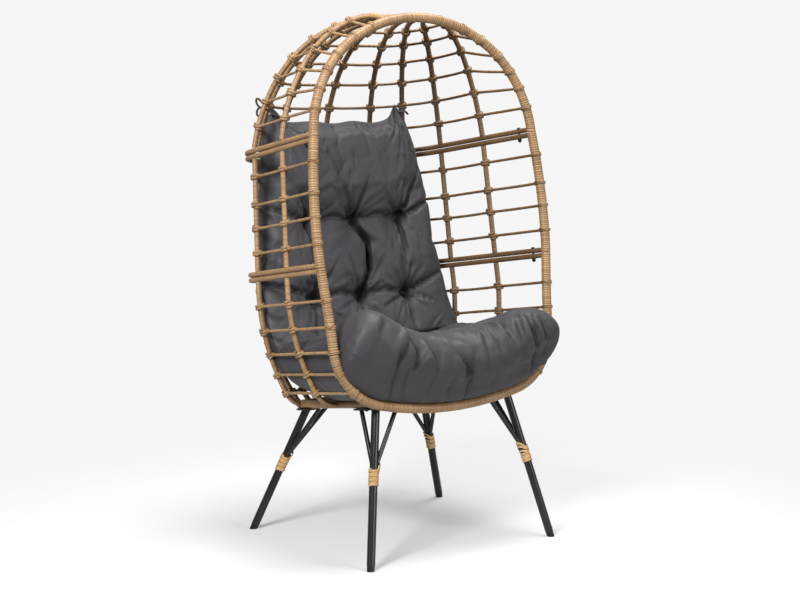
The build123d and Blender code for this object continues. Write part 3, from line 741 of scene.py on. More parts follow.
@dataclass(frozen=True)
class Basket:
    """Where the reclined basket stands and the lines that its tubes follow, in millimetres."""

    recline: float = 8.7
    seam_front_y: float = -215.1
    seam_height: float = 766.0
    front_half_width: float = 369.0
    back_half_width: float = 311.0
    depth: float = 526.0
    back_corner_radius: float = 140.0
    upper_scale: float = 0.96
    hoop_top: float = 641.0
    crown_radius: float = 395.0
    crown_half_width: float = 204.0
    side_bulge: float = 3.0
    side_bulge_height: float = 110.0
    sill_drop: float = 387.0
    sill_radius: float = 1000.0
    sill_half_width: float = 225.0
    corner_top_drop: float = 210.0
    corner_top_inset: float = 17.0
    hoop_radius: float = 13.0
    rail_radius: float = 7.0
    rail_gap: float = 1.0
    rib_radius: float = 6.5
    base_radius: float = 11.0
    cross_bar_radius: float = 8.0
    hoop_gap: float = 0.3
    # Middle line that the painted shade on the lattice's inner side is measured from.
    heart_depth: float = 180.0
    heart_heights: Pair = (-250.0, 330.0)
    side_rib_depths: Pair = (198.0, 381.0)
    back_rib_half_width: float = 163.0
    rib_end_spacing: float = 26.0
    hood_scales: Pairs = ((452.0, 0.885), (545.0, 0.762), (650.0, 0.40))
    bucket_insets: Pairs = ((214.0, 17.0), (322.0, 57.0))
    base_half_width: float = 222.0
    base_back: float = 424.0
    base_drop: float = 358.0
    base_inset: float = 120.0
    base_corner_radius: float = 40.0
    cross_bar_depths: Row = (120.0, 225.0, 330.0)
    hood_rows: Row = (404.0, 467.0, 527.0, 577.0, 618.0, 644.0)
    hood_row_ends: Row = (400.0, 453.0, 499.0, 540.0, 584.0, 612.0)
    mid_rows: Row = (62.0, 130.0, 192.0, 270.0)
    bucket_rows: Row = (-82.0, -150.0, -214.0, -270.0, -322.0)

    def place(self, x: float, v: float, w: float) -> Vector:
        """Turn a point of the basket, in millimetres, into a point of the chair in metres."""
        lean = radians(self.recline)
        y = self.seam_front_y + v * cos(lean) + w * sin(lean)
        z = self.seam_height - v * sin(lean) + w * cos(lean)
        return Vector((x, y, z)) * MM

    def local(self, point: Vector) -> Vector:
        """Turn a point of the chair in metres into a point of the basket in millimetres."""
        lean = radians(self.recline)
        y, z = point.y / MM - self.seam_front_y, point.z / MM - self.seam_height
        v = y * cos(lean) - z * sin(lean)
        return Vector((point.x / MM, v, y * sin(lean) + z * cos(lean)))

    def up(self) -> Vector:
        """Give the direction up along the basket's back."""
        return (self.place(0, 0, 1) - self.place(0, 0, 0)).normalized()

    def outward(self, point: Vector) -> Vector:
        """Give the way out of the basket at a point of the chair, which sets where the lattice gets painted
        shade on its inner side.
        """
        low, high = self.heart_heights
        heart = self.place(0, self.heart_depth, min(high, max(low, self.local(point).z)))
        return (point - heart).normalized()

    def mark_at(self, line: Line, height: float) -> float:
        """Find how far along a line it passes a height of the basket."""
        return line.where(lambda point: self.local(point).z - height)

    def crown_fall(self, x: float) -> float:
        """Give how far the hoop's crown has fallen at a distance from its middle."""
        return self.crown_radius - sqrt(self.crown_radius**2 - x**2)

    @property
    def rail_offset(self) -> float:
        """Give how far each rail's middle lies from its seam."""
        return self.rail_radius + self.rail_gap / 2

    def hood_half(self, sign: int) -> list[Vector]:
        """Follow the hood's arch from the crown down one side to the upper seam.

        Args:
            sign: -1 for the left, 1 for the right.

        Returns:
            Points along it, in metres.
        """
        half = self.crown_half_width / 2
        top, mid, low = ((sign * x, self.hoop_top - self.crown_fall(x)) for x in (0.0, half, 2 * half))
        crown, way = arc_through(*(self.place(x, 0, w) for x, w in (top, mid, low)))
        foot = self.place(sign * self.front_half_width * self.upper_scale, 0, Seam.UPPER.value)
        return crown + tangent_arc(crown[-1], way, foot)[0][1:]

    def mid_side(self, sign: int) -> list[Vector]:
        """Follow one side of the hoop up between the two seams.

        Args:
            sign: -1 for the left, 1 for the right.

        Returns:
            Points along it, in metres.
        """
        return arc_through(
            self.place(sign * self.front_half_width, 0, 0),
            self.place(sign * (self.front_half_width + self.side_bulge), 0, self.side_bulge_height),
            self.place(sign * self.front_half_width * self.upper_scale, 0, Seam.UPPER.value),
        )[0]

    def bucket_half(self, sign: int) -> list[Vector]:
        """Follow the bucket's arch from the middle of the sill up one side to the lower seam.

        Args:
            sign: -1 for the left, 1 for the right.

        Returns:
            Points along it, in metres.
        """
        half = self.sill_half_width
        fall = [self.sill_radius - sqrt(self.sill_radius**2 - x**2) for x in (half / 2, half)]
        sill, way = arc_through(
            self.place(0, 0, -self.sill_drop),
            self.place(sign * half / 2, 0, fall[0] - self.sill_drop),
            self.place(sign * half, 0, fall[1] - self.sill_drop),
        )
        corner_x = sign * (self.front_half_width - self.corner_top_inset)
        corner_top = self.place(corner_x, 0, -self.corner_top_drop)
        corner, way = tangent_arc(sill[-1], way, corner_top)
        side, _ = tangent_arc(corner_top, way, self.place(sign * self.front_half_width, 0, 0))
        return sill + corner[1:] + side[1:]

    def rail_line(self, height: float, scale: float) -> Line:
        """Follow the U of one rail from hoop to hoop."""
        front, back, deep = (s * scale for s in (self.front_half_width, self.back_half_width, self.depth))
        corners = [(-front, 0.0), (-back, deep), (back, deep), (front, 0.0)]
        points = [self.place(x, v, height) for x, v in corners]
        return Line(rounded_line(points, self.back_corner_radius * scale * MM))

    def rib_stations(self) -> list[tuple[str, float, float, Pair]]:
        """List each rib from left to right.

        Returns:
            Name, place on the lower seam, and the way that its bucket part turns in.
        """
        run = self.front_half_width - self.back_half_width
        turn = atan2(self.depth, run)
        reach = self.back_corner_radius * (1 / sin(turn / 2) - 1)
        inward = (-cos(turn / 2), -sin(turn / 2))
        right = [("e_middle", 0.0, self.depth, (0.0, -1.0))]
        right.append(("d", self.back_rib_half_width, self.depth, (0.0, -1.0)))
        right.append(("c", self.back_half_width + reach * inward[0], self.depth + reach * inward[1], inward))
        for letter, v in zip("ba", reversed(self.side_rib_depths)):
            right.append((letter, self.front_half_width - run * v / self.depth, v, (-1.0, 0.0)))
        left = [(f"{n}_left", -x, v, (-t[0], t[1])) for n, x, v, t in reversed(right[1:])]
        return left + right[:1] + [(f"{n}_right", x, v, t) for n, x, v, t in right[1:]]

    def hood_rib(self, x: float, v: float, end_x: float) -> Line:
        """Follow one hood rib from the upper seam over the roof to the hoop.

        Args:
            x: Its place across the lower seam.
            v: Its place back along it.
            end_x: Its place across the hoop.

        Returns:
            Its middle line.
        """
        (shoulder, s1), (haunch, s2), (brow, s3) = self.hood_scales
        start = self.place(x * self.upper_scale, v * self.upper_scale, Seam.UPPER.value + self.rail_offset)
        knee = self.place(x * s2, v * s2, haunch)
        side, way = arc_through(start, self.place(x * s1, v * s1, shoulder), knee)
        over = self.place(x * s3, v * s3, brow)
        roof, way = tangent_arc(knee, way, over)
        last, _ = tangent_arc(over, way, self.place(end_x, 0, self.hoop_top - self.crown_fall(end_x)))
        return Line(side + roof[1:] + last[1:])

    def mid_post(self, x: float, v: float) -> Line:
        """Follow one post between the seams."""
        s = self.upper_scale
        foot = self.place(x, v, self.rail_offset)
        head = self.place(x * s, v * s, Seam.UPPER.value - self.rail_offset)
        return straight_line(foot, head)

    def bucket_rib(self, name: str, x: float, v: float, turn: Pair) -> Line:
        """Follow one bucket rib from the lower seam in under the seat.

        Args:
            name: Its name.
            x: Its place across the seam.
            v: Its place back along it.
            turn: The way that it turns in.

        Returns:
            Its middle line.
        """
        points = [self.place(x, v, -self.rail_offset)]
        for drop, inset in self.bucket_insets:
            points.append(self.place(x + turn[0] * inset, v + turn[1] * inset, -drop))
        side, way = arc_through(*points)
        sign = copysign(1, x)
        if name[0] in "ab":
            end = (sign * self.base_half_width, min(v, self.base_back - self.base_corner_radius))
        elif name[0] == "c":
            diagonal = self.base_corner_radius * (1 - sqrt(0.5))
            end = (sign * (self.base_half_width - diagonal), self.base_back - diagonal)
        else:
            end = (x, self.base_back)
        under, _ = tangent_arc(points[-1], way, self.place(*end, -self.base_drop))
        return Line(side + under[1:])

    def inside_outline(self, w: float) -> list[Pair]:
        """Give the lattice's outline in plan at one height, from the left of the hoop to its right.

        Args:
            w: The height.

        Returns:
            Its corners.
        """
        scale = blend_stations(((0.0, 1.0), (Seam.UPPER.value, self.upper_scale), *self.hood_scales), w)
        inset = blend_stations(((0.0, 0.0), *self.bucket_insets, (self.base_drop, self.base_inset)), -w)
        corners = []
        for _, x, v, turn in self.rib_stations():
            corners.append(((x + turn[0] * inset) * scale, (v + turn[1] * inset) * scale))
        front = (self.front_half_width - inset) * scale
        return [(-front, 0.0), *corners, (front, 0.0)]


# Wicker


@dataclass
class WickerFrame:
    """The wrapped hoop, rails, ribs, posts and base of the basket, in millimetres."""

    basket: Basket
    palette: Palette
    hoop_pitch: float = 6.2
    rail_pitch: float = 6.6
    rib_pitch: float = 6.0
    base_pitch: float = 7.0
    groove_share: float = 0.085
    thin_mark: float = 0.4
    rib_look: float = 7.5
    wrap_lean: float = 5.0
    wrap_start: float = 0.3
    least_wrap: float = 0.4
    end_gap: float = 0.4
    joint_gap: float = 0.2
    sunk: float = 1.0
    rail_sunk: float = 0.6
    dice: random.Random = field(default_factory=lambda: random.Random(11))
    hood_lines: dict[str, Line] = field(default_factory=dict)
    mid_lines: dict[str, Line] = field(default_factory=dict)
    bucket_lines: dict[str, Line] = field(default_factory=dict)
    hoop_sides, rib_sides, base_sides, cross_bar_sides = 16, 10, 14, 12
    width_spread, proud_spread, lean_spread = (0.86, 1.14), (0.975, 1.0), (0.7, 1.3)
    face_shares, tone_span = (0.16, 0.84), 5.0

    def __post_init__(self) -> None:
        """Work out the rib lines, which the strands use too."""
        stations = self.basket.rib_stations()
        for i, (name, x, v, turn) in enumerate(stations):
            end_x = (i - (len(stations) - 1) / 2) * self.basket.rib_end_spacing
            self.hood_lines[name] = self.basket.hood_rib(x, v, end_x)
            self.mid_lines[name] = self.basket.mid_post(x, v)
            self.bucket_lines[name] = self.basket.bucket_rib(name, x, v, turn)

    def wrapped(self, tube: TubeMesh, line: Line, radius: float, pitch: float, sides: int) -> None:
        """Wind a strip round a tube along a line.

        Args:
            tube: Where the tube goes.
            line: Its middle line.
            radius: Its outside radius in millimetres.
            pitch: Width of the strip in millimetres.
            sides: How many flats go round it.
        """
        rings: list[Ring] = []
        mark = self.thin_mark if radius < self.basket.base_radius else 1.0
        outside, depth = radius * MM, radius * MM * self.groove_share * mark
        lean = radians(self.wrap_lean)
        along, last = self.wrap_start * MM, line.length - self.end_gap * MM
        tone = self.dice.uniform(0, self.tone_span)
        while along < last - self.least_wrap * MM:
            width = pitch * MM * self.dice.uniform(*self.width_spread)
            width = min(width, last - along)
            proud = outside * self.dice.uniform(*self.proud_spread)
            tilt = lean * self.dice.uniform(*self.lean_spread)
            # The groove between wraps gets painted shade, less on thin tubes.
            rings.append(Ring(along, proud - depth, mark, tilt))
            rings += [Ring(along + width * share, proud, 0.0, tilt) for share in self.face_shares]
            along += width
        rings.append(Ring(line.length - self.end_gap * MM / 2, outside - depth, 1.0))
        rings[0].tilt = 0.0
        tube.roll(line, rings, sides, None, tone)

    def one(self, name: str, line: Line, radius: float, pitch: float, sides: int) -> None:
        """Make one wrapped piece that stands for the CAD node of the same name."""
        # Thin tubes get painted shade on the side that faces into the basket.
        tube = TubeMesh(self.basket.outward if radius < self.basket.base_radius else None)
        self.wrapped(tube, line, radius, pitch, sides)
        fit_out(tube.piece(f"wrapped_{name}"), self.palette.wrapped, "wicker_frame", name)

    def hoop(self) -> None:
        """Make the four lengths of the front hoop."""
        b = self.basket
        lengths = {
            "hood_front_arch": b.hood_half(-1)[::-1] + b.hood_half(1)[1:],
            "bucket_front_arch": b.bucket_half(-1)[::-1] + b.bucket_half(1)[1:],
        }
        lengths |= {f"mid_front_tube_{side.word}": b.mid_side(side.value) for side in Side}
        gap = self.joint_gap * MM
        for name, points in lengths.items():
            line = Line(points).trimmed(gap, gap)
            self.one(name, line, b.hoop_radius, self.hoop_pitch, self.hoop_sides)

    def rails(self) -> None:
        """Make the two rails at each seam."""
        b = self.basket
        end = (b.hoop_radius - self.sunk) * MM
        for name, seam, sign in (
            ("hood_lower_rail", Seam.UPPER, 1),
            ("mid_upper_rail", Seam.UPPER, -1),
            ("mid_lower_rail", Seam.LOWER, 1),
            ("bucket_upper_rail", Seam.LOWER, -1),
        ):
            scale = b.upper_scale if seam is Seam.UPPER else 1.0
            line = b.rail_line(seam.value + sign * b.rail_offset, scale).trimmed(end, end)
            self.one(name, line, b.rail_radius, self.rail_pitch, self.rib_sides)

    def ribs(self) -> None:
        """Make the hood ribs, the bucket ribs and the three groups of posts."""
        b = self.basket
        rail_end = (b.rail_radius - self.rail_sunk) * MM
        hoop_end, base_end = ((radius - self.sunk) * MM for radius in (b.hoop_radius, b.base_radius))
        look = (self.rib_look, self.rib_pitch, self.rib_sides)
        for name, line in self.hood_lines.items():
            self.one(f"hood_rib_{name}", line.trimmed(rail_end, hoop_end), *look)
        for name, line in self.bucket_lines.items():
            self.one(f"bucket_rib_{name}", line.trimmed(rail_end, base_end), *look)
        for group, members in (
            ("left", ("a_left", "b_left", "c_left")),
            ("back", ("d_left", "e_middle", "d_right")),
            ("right", ("c_right", "b_right", "a_right")),
        ):
            tube = TubeMesh(b.outward)
            for name in members:
                self.wrapped(tube, self.mid_lines[name].trimmed(rail_end, rail_end), *look)
            node = f"mid_posts_{group}"
            fit_out(tube.piece(f"wrapped_{node}"), self.palette.wrapped, "wicker_frame", node)

    def base(self) -> None:
        """Make the rectangle of bars under the seat and its cross bars."""
        b = self.basket
        front = b.hoop_radius + b.base_radius + b.hoop_gap
        corners = [(-b.base_half_width, b.base_back), (b.base_half_width, b.base_back)]
        corners += [(b.base_half_width, front), (-b.base_half_width, front)]
        points = [b.place(x, v, -b.base_drop) for x, v in corners]
        ring = rounded_line(points, b.base_corner_radius * MM, closed=True)
        self.one("base_frame", Line(ring), b.base_radius, self.base_pitch, self.base_sides)
        tube = TubeMesh()
        height = -b.base_drop + b.base_radius - b.cross_bar_radius
        reach = b.base_half_width - b.base_radius + self.sunk
        for v in b.cross_bar_depths:
            line = straight_line(b.place(-reach, v, height), b.place(reach, v, height))
            self.wrapped(tube, line, b.cross_bar_radius, self.base_pitch, self.cross_bar_sides)
        node = "base_cross_bars"
        fit_out(tube.piece(f"wrapped_{node}"), self.palette.wrapped, "wicker_frame", node)

    def build(self) -> None:
        """Make every wrapped piece."""
        self.hoop()
        self.rails()
        self.ribs()
        self.base()


@dataclass
class Strands:
    """The rows of round strands, knotted round each rib and tied off on the hoop, in millimetres."""

    basket: Basket
    frame: WickerFrame
    palette: Palette
    sag: float = 1.6
    full_span: float = 120.0
    flare: float = 1.5
    flare_curve: float = 1.5
    flare_reach: float = 13.0
    strand_look: float = 3.9
    ring_gap: float = 12.0
    knot_turns: float = 2.2
    knot_wire: float = 3.9
    knot_climb: float = 6.8
    hoop_wire: float = 1.9
    hoop_climb: float = 4.0
    dice: random.Random = field(default_factory=lambda: random.Random(23))
    sag_spread, sway_spread, sway_turn = (-0.6, 1.4), (-0.7, 0.7), 5.0
    swell_spread, knot_spread, tone_span = (0.96, 1.04), (0.94, 1.12), 9.0
    # Painted shade on the strands towards their knots, and over the knot coils, deepest at the coils' ends.
    knot_shade, shade_fall = 0.7, 0.55
    coil_shade, coil_end_shade, coil_end_taper = 0.36, 0.8, 0.6
    knot_lean, knot_bite, knot_wave, knot_waves = 2.2, 0.72, 0.03, 3
    strand_sides, strand_steps, ring_counts = 8, 12, (6, 16)
    knot_sides, knot_turn_steps = 6, 10

    def strand(self, tube: TubeMesh, start: Vector, end: Vector) -> None:
        """Run one strand from a knot to the next, a little uneven and thicker towards its knots, where it
        gets painted shade.

        Args:
            tube: Where it goes.
            start: Middle of the first knot.
            end: Middle of the next knot.
        """
        span = (end - start).length
        way, up = (end - start).normalized(), self.basket.up()
        tight = min(1.0, span / (self.full_span * MM))
        drop = up * -self.sag * MM * self.dice.uniform(*self.sag_spread) * tight
        aside = way.cross(up) * self.sag * MM * self.dice.uniform(*self.sway_spread)
        points = []
        for share in shares(self.strand_steps):
            bow = (drop + aside * cos(self.sway_turn * share)) * 4 * share * (1 - share)
            points.append(start.lerp(end, share) + bow)
        line = Line(points)
        least, most = self.ring_counts
        count = max(least, min(most, int(span / (self.ring_gap * MM))))
        rings = []
        for share in shares(count):
            along = line.length * share
            near = min(along, line.length - along) / (self.flare_reach * MM)
            swell = 1 + (self.flare - 1) * max(0.0, 1 - near) ** self.flare_curve
            swell *= self.dice.uniform(*self.swell_spread)
            shade = max(0.0, self.knot_shade - self.shade_fall * near)
            rings.append(Ring(along, self.strand_look * MM * swell, shade))
        tube.roll(line, rings, self.strand_sides, None, self.dice.uniform(0, self.tone_span))

    def knot(self, tube: TubeMesh, line: Line, mark: float, core: float, wire: float, climb: float) -> None:
        """Wind a short coil of strand round a tube, with painted shade over it.

        Args:
            tube: Where it goes.
            line: Middle line of the tube that it is wound round.
            mark: How far along that line the knot lies.
            core: Radius of that tube in millimetres.
            wire: Radius of the strand in millimetres.
            climb: Climb of each turn in millimetres.
        """
        centre, way = line.at(mark), line.way(mark)
        across = way.orthogonal().normalized()
        aside = way.cross(across)
        start = self.dice.uniform(0, 2 * pi)
        lean = self.dice.uniform(-1.0, 1.0) * self.knot_lean
        steps = int(self.knot_turns * self.knot_turn_steps)
        points = []
        for share in shares(steps):
            angle = start + share * self.knot_turns * 2 * pi
            wave = 1 + self.knot_wave * sin(self.knot_waves * angle)
            reach = (core + wire * self.knot_bite) * wave
            rise = (share - 0.5) * self.knot_turns * climb + lean * cos(angle)
            out = across * cos(angle) + aside * sin(angle)
            points.append(centre + (out * reach + way * rise) * MM)
        coil = Line(points)
        rings = [Ring(coil.length * share, wire * MM, self.coil_shade) for share in shares(steps)]
        taper_ends(rings, self.coil_end_taper, self.coil_end_shade)
        tube.roll(coil, rings, self.knot_sides, None, self.dice.uniform(0, self.tone_span))

    def section(self, node: str, lines: dict[str, Line], hoops: Sequence[Line], rows: Row, ends: Row) -> None:
        """Make every strand and knot of one section.

        Args:
            node: The CAD node that they stand for.
            lines: The section's ribs from left to right.
            hoops: The hoop's left and right halves.
            rows: Height of each row on the ribs.
            ends: Height of each row on the hoop.
        """
        b = self.basket
        tube = TubeMesh(b.outward)
        for row, end in zip(rows, ends):
            hoop_marks = [b.mark_at(hoop, end) for hoop in hoops]
            first, last = (hoop.at(mark) for hoop, mark in zip(hoops, hoop_marks))
            stops = [first]
            for line in lines.values():
                mark = b.mark_at(line, row)
                stops.append(line.at(mark))
                wire = self.knot_wire * self.dice.uniform(*self.knot_spread)
                self.knot(tube, line, mark, self.frame.rib_look, wire, self.knot_climb)
            stops.append(last)
            for hoop, mark in zip(hoops, hoop_marks):
                self.knot(tube, hoop, mark, b.hoop_radius, self.hoop_wire, self.hoop_climb)
            for start, stop in zip(stops, stops[1:]):
                self.strand(tube, start, stop)
        fit_out(tube.piece(f"knotted_{node}"), self.palette.strand, "wicker_strand", node)

    def build(self) -> None:
        """Make the rows of the hood, the middle and the bucket."""
        b = self.basket
        hood, mid, bucket = (
            [Line(half(sign)) for sign in (-1, 1)] for half in (b.hood_half, b.mid_side, b.bucket_half)
        )
        self.section("hood_strands", self.frame.hood_lines, hood, b.hood_rows, b.hood_row_ends)
        self.section("mid_strands", self.frame.mid_lines, mid, b.mid_rows, b.mid_rows)
        self.section("bucket_strands", self.frame.bucket_lines, bucket, b.bucket_rows, b.bucket_rows)


# Legs


@dataclass(frozen=True)
class LegPlace:
    """Where one leg stands, where its top meets the base in the basket, and the height of its joint."""

    foot: Pair
    top: Pair
    joint: float


@dataclass
class Legs:
    """The four braced legs, with rattan wound round each where its braces meet it, in millimetres."""

    basket: Basket
    palette: Palette
    front: LegPlace = LegPlace((298.0, -332.0), (216.0, 36.0), 238.0)
    back: LegPlace = LegPlace((322.0, 210.0), (198.0, 402.0), 198.0)
    plate_bottom: float = -373.3
    brace_spread: float = 66.0
    leg_radius: float = 11.0
    leg_gap: float = 0.4
    strip_half_width: float = 3.3
    strip_half_thickness: float = 1.25
    turns: float = 7.2
    pitch: float = 5.9
    below_joint: float = 34.0
    flare_lift: float = 19.0
    flare_out: float = 4.2
    strip_sides, turn_steps, start_angle = 8, 24, 2.4
    flare_start, flare_curve = 0.45, 1.5
    loose_out, loose_lift, loose_turns = 0.35, 0.6, (0.37, 0.51)
    # Painted shade at the strip's two ends; its edges get painted shade as it is rolled.
    end_taper, end_shade = 0.7, 0.6

    def binding(self, name: str, sign: int, leg: LegPlace) -> None:
        """Wind the rattan strip of one leg, its last turns riding up over a brace, with painted shade at its
        edges and ends.

        Args:
            name: The leg's name.
            sign: Which side it is on.
            leg: Where it stands.
        """
        b = self.basket
        low = Vector((sign * leg.foot[0], leg.foot[1], 0)) * MM
        high = b.place(sign * leg.top[0], leg.top[1], self.plate_bottom)
        axis = (high - low).normalized()
        joint = low + axis * (leg.joint * MM / axis.z)
        brace = b.place(sign * (leg.top[0] - self.brace_spread), leg.top[1], self.plate_bottom) - joint
        across = (brace - axis * brace.dot(axis)).normalized()
        aside = axis.cross(across)
        out_turn, lift_turn = self.loose_turns
        steps = int(self.turns * self.turn_steps)
        points = []
        for share in shares(steps):
            angle = 2 * pi * self.turns * share + self.start_angle
            rising = smooth((share - self.flare_start) / (1 - self.flare_start))
            over_brace = rising * max(0.0, cos(angle)) ** self.flare_curve
            reach = self.leg_radius + self.leg_gap + self.strip_half_thickness + over_brace * self.flare_out
            reach += self.loose_out * sin(angle * out_turn + sign)
            climb = self.pitch * self.turns * share - self.below_joint + over_brace * self.flare_lift
            climb += self.loose_lift * sin(angle * lift_turn)
            out = across * cos(angle) + aside * sin(angle)
            points.append(joint + (out * reach + axis * climb) * MM)

        def off_leg(point: Vector) -> Vector:
            """Give the way straight out from the leg at a point."""
            out = point - low
            return (out - axis * out.dot(axis)).normalized()

        line = Line(points)
        size, broad = self.strip_half_thickness * MM, self.strip_half_width / self.strip_half_thickness
        rings = [Ring(line.length * share, size, flatten=broad) for share in shares(steps)]
        taper_ends(rings, self.end_taper, self.end_shade)
        tube = TubeMesh()
        tube.roll(line, rings, self.strip_sides, facing=off_leg)
        node = f"leg_binding_{name}"
        fit_out(tube.piece(f"rattan_{node}"), self.palette.binding, "natural_rattan", node)

    def metal(self) -> None:
        """Coat the tubes, braces, plates, caps and bolts, whose solids have the right shape."""
        for name, node in frame["nodes"].items():
            if name.startswith(("leg_tube", "leg_braces", "leg_plates")):
                coat = self.palette.steel
            elif name.startswith("foot_cap"):
                coat = self.palette.foot
            elif name.endswith("_bolts"):
                coat = self.palette.bolt
            else:
                continue
            node.data.materials.clear()
            node.data.materials.append(coat)

    def build(self) -> None:
        """Coat the metal and wind the four bindings."""
        self.metal()
        for side in Side:
            self.binding(f"front_{side.word}", side.value, self.front)
            self.binding(f"back_{side.word}", side.value, self.back)


# Cushion


@dataclass(frozen=True)
class PadStation:
    """One station down the cushion's middle sheet, from the top of its back to its front, in millimetres."""

    v: float
    w: float
    half_width: float
    thickness: float
    side_lift: float
    corner_lift: float


@dataclass(frozen=True)
class Fold:
    """A groove in the cushion's face, from a place across and down the sheet to another, in millimetres."""

    start: Pair
    end: Pair
    depth: float
    width: float
    fade: float
    ridge: float = 0.0
    far = 3.6
    narrow, widening = 0.75, 0.5
    sharp_share, sharp, soft = 0.6, 2.4, 0.9
    steep, ridge_away, ridge_width = 2.6, 1.3, 0.7
    bottom = 3.5

    def at(self, x: float, down: float) -> Pair:
        """Read the groove at one place.

        Args:
            x: Distance across the sheet.
            down: Distance down the sheet.

        Returns:
            How deep it is there, less than 0 on its ridge, and how near its bottom the place is, up to 1.
        """
        run_x, run_d = self.end[0] - self.start[0], self.end[1] - self.start[1]
        here_x, here_d = x - self.start[0], down - self.start[1]
        share = (here_x * run_x + here_d * run_d) / (run_x * run_x + run_d * run_d)
        share = min(1.0, max(0.0, share))
        broad = self.width * (self.narrow + self.widening * share)
        away = hypot(here_x - run_x * share, here_d - run_d * share) / broad
        if away > self.far:
            return 0.0, 0.0
        left = 1 - self.fade * share
        pinch = self.sharp_share * exp(-self.sharp * away)
        pinch += (1 - self.sharp_share) * exp(-self.soft * away)
        if self.ridge and (run_x * here_d - run_d * here_x) * run_d > 0:
            crest = exp(-(((away - self.ridge_away) / self.ridge_width) ** 2))
            pinch = exp(-self.steep * away) - self.ridge * crest
        return self.depth * left * pinch, left * exp(-self.bottom * away * away)


@dataclass(frozen=True)
class Scatter:
    """Ranges that the reach, depth and width of chance folds are drawn from, with their fade and ridge."""

    reach: Pair
    depth: Pair
    width: Pair
    fade: float
    ridge: float = 0.0


@dataclass
class Cushion:
    """The one-piece cushion: two panels sewn round their edge, stuffed and tufted, in millimetres."""

    basket: Basket
    palette: Palette
    rows: int = 156
    columns: int = 130
    seam_half: float = 3.0
    pressure: float = 4.0
    frames: int = 20
    cap: float = 24.0
    tuft_columns: Row = (-155.0, 0.0, 155.0)
    tuft_heights: Pair = (140.0, -78.0)
    seat_tuft_depth: float = 190.0
    seat_after: float = 150.0
    crease_height: float = -234.0
    tuft_depth: float = 38.0
    tuft_reach: float = 26.0
    tuft_button: float = 8.0
    left_puff: float = 66.0
    corner_peak: float = 34.0
    spill: float = 36.0
    left_reach: float = 22.0
    left_corner: float = 28.0
    right_reach: float = 24.0
    lattice_front: float = 12.0
    lattice_gap: float = 8.0
    bulge: float = 26.0
    base_gap: float = 1.5
    hoop_reach: float = 60.0
    sill_reach: float = 45.0
    sill_half_width: float = 300.0
    fan_size: Scatter = Scatter((70, 150), (9, 15), (7, 10), 0.9, 0.5)
    wrinkles: int = 170
    wrinkle_size: Scatter = Scatter((28, 95), (3.0, 7.0), (5.0, 9.5), 0.6)
    dice: random.Random = field(default_factory=lambda: random.Random(41))
    stations: tuple[PadStation, ...] = tuple(
        PadStation(*row)
        for row in (
            (384, 440, 190, 8, 12, 4),
            (399, 414, 224, 46, 18, 8),
            (414, 340, 250, 92, 26, 12),
            (424, 220, 268, 116, 32, 16),
            (427, 70, 284, 124, 36, 18),
            (424, -60, 298, 126, 38, 18),
            (408, -165, 306, 114, 40, 22),
            (352, -240, 302, 96, 42, 26),
            (268, -267, 306, 120, 44, 24),
            (165, -274, 312, 134, 46, 24),
            (60, -279, 320, 164, 70, 20),
            (0, -285, 326, 184, 88, 10),
            (-32, -291, 332, 182, 92, 6),
            (-54, -298, 330, 144, 92, 4),
            (-66, -304, 318, 80, 90, 2),
            (-70, -308, 298, 8, 88, 0),
        )
    )
    row_steps, front_rows, close_rows = 2000, 2.8, 40.0
    tuft_curve, rear_tuft_share, overlap = 1.15, 0.3, 0.3
    # Folds this deep get the full painted shade in their creases.
    firm_depth, dark_depth = 26.0, 24.0
    fold_hold, least_hold = 0.6, 0.05
    corner_power, edge_power, peak_power = 8, 5.0, 9
    puff_power, spill_power, slope_step = 3, 6, 2.0
    deepest_share, left_fall, under_fill = 0.8, 0.85, 0.75
    puff_start, puff_run, under_start, under_run = 60.0, 240.0, 10.0, 60.0
    peak_reach, corner_reach, bend_reach = 55.0, 90.0, 70.0
    top_wave, top_waves = 3.0, 9.0
    spill_height, spill_spread = -110.0, 110.0
    press, press_limits = 0.75, (-9.0, 30.0)
    front_start, front_run = 80.0, 40.0
    front_width, front_ridge = 10.0, 0.45
    under_fade, under_ridge = 0.7, 0.4
    eased_reach, easings, easing = 75.0, 4, 0.5
    fan_leans, fan_jitter = (-58, -34, -12, 14, 36, 60), 8.0
    wrinkle_half_width, wrinkle_ends, wrinkle_turn = 290.0, (20.0, 30.0), 0.7
    wrinkle_reach, wrinkle_limit = 120.0, 10.0

    def __post_init__(self) -> None:
        """Measure the sheet, lay out its tufts and folds, and find what it rests on."""
        b = self.basket
        self.known: dict[tuple[str, float], float] = {}
        self.marks = [0.0]
        for first, second in zip(self.stations, self.stations[1:]):
            self.marks.append(self.marks[-1] + hypot(second.v - first.v, second.w - first.w))
        self.crease = self.down_at("w", self.crease_height, 0)
        upper, lower = (self.down_at("w", height, 0) for height in self.tuft_heights)
        seat = self.down_at("v", self.seat_tuft_depth, lower + self.seat_after)
        self.tufts = [(x, down) for down in (upper, lower, seat) for x in self.tuft_columns]
        self.creases = self.back_folds(upper, lower) + self.seat_folds(seat)
        self.under_creases = self.under_folds()
        self.rucks = self.small_folds()
        self.row_marks = self.spread_rows()
        self.hoop = [b.local(p) for sign in (-1, 1) for p in b.bucket_half(sign)]
        self.hoop_keep = b.hoop_radius + b.hoop_gap
        self.levels = sorted((*b.bucket_rows, Seam.LOWER.value, *b.mid_rows, Seam.UPPER.value, *b.hood_rows))
        self.outlines: dict[int, list[Pair]] = {}

    def read(self, part: str, down: float) -> float:
        """Read one measure of the sheet at a distance down it."""
        if (part, down) not in self.known:
            curve = [(mark, getattr(station, part)) for mark, station in zip(self.marks, self.stations)]
            self.known[part, down] = blend_stations(curve, down)
        return self.known[part, down]

    def down_at(self, part: str, value: float, start: float) -> float:
        """Find how far down the sheet a falling measure passes a value, from a given start."""
        down = start
        while down < self.marks[-1] and self.read(part, down) > value:
            down += 1.0
        return down

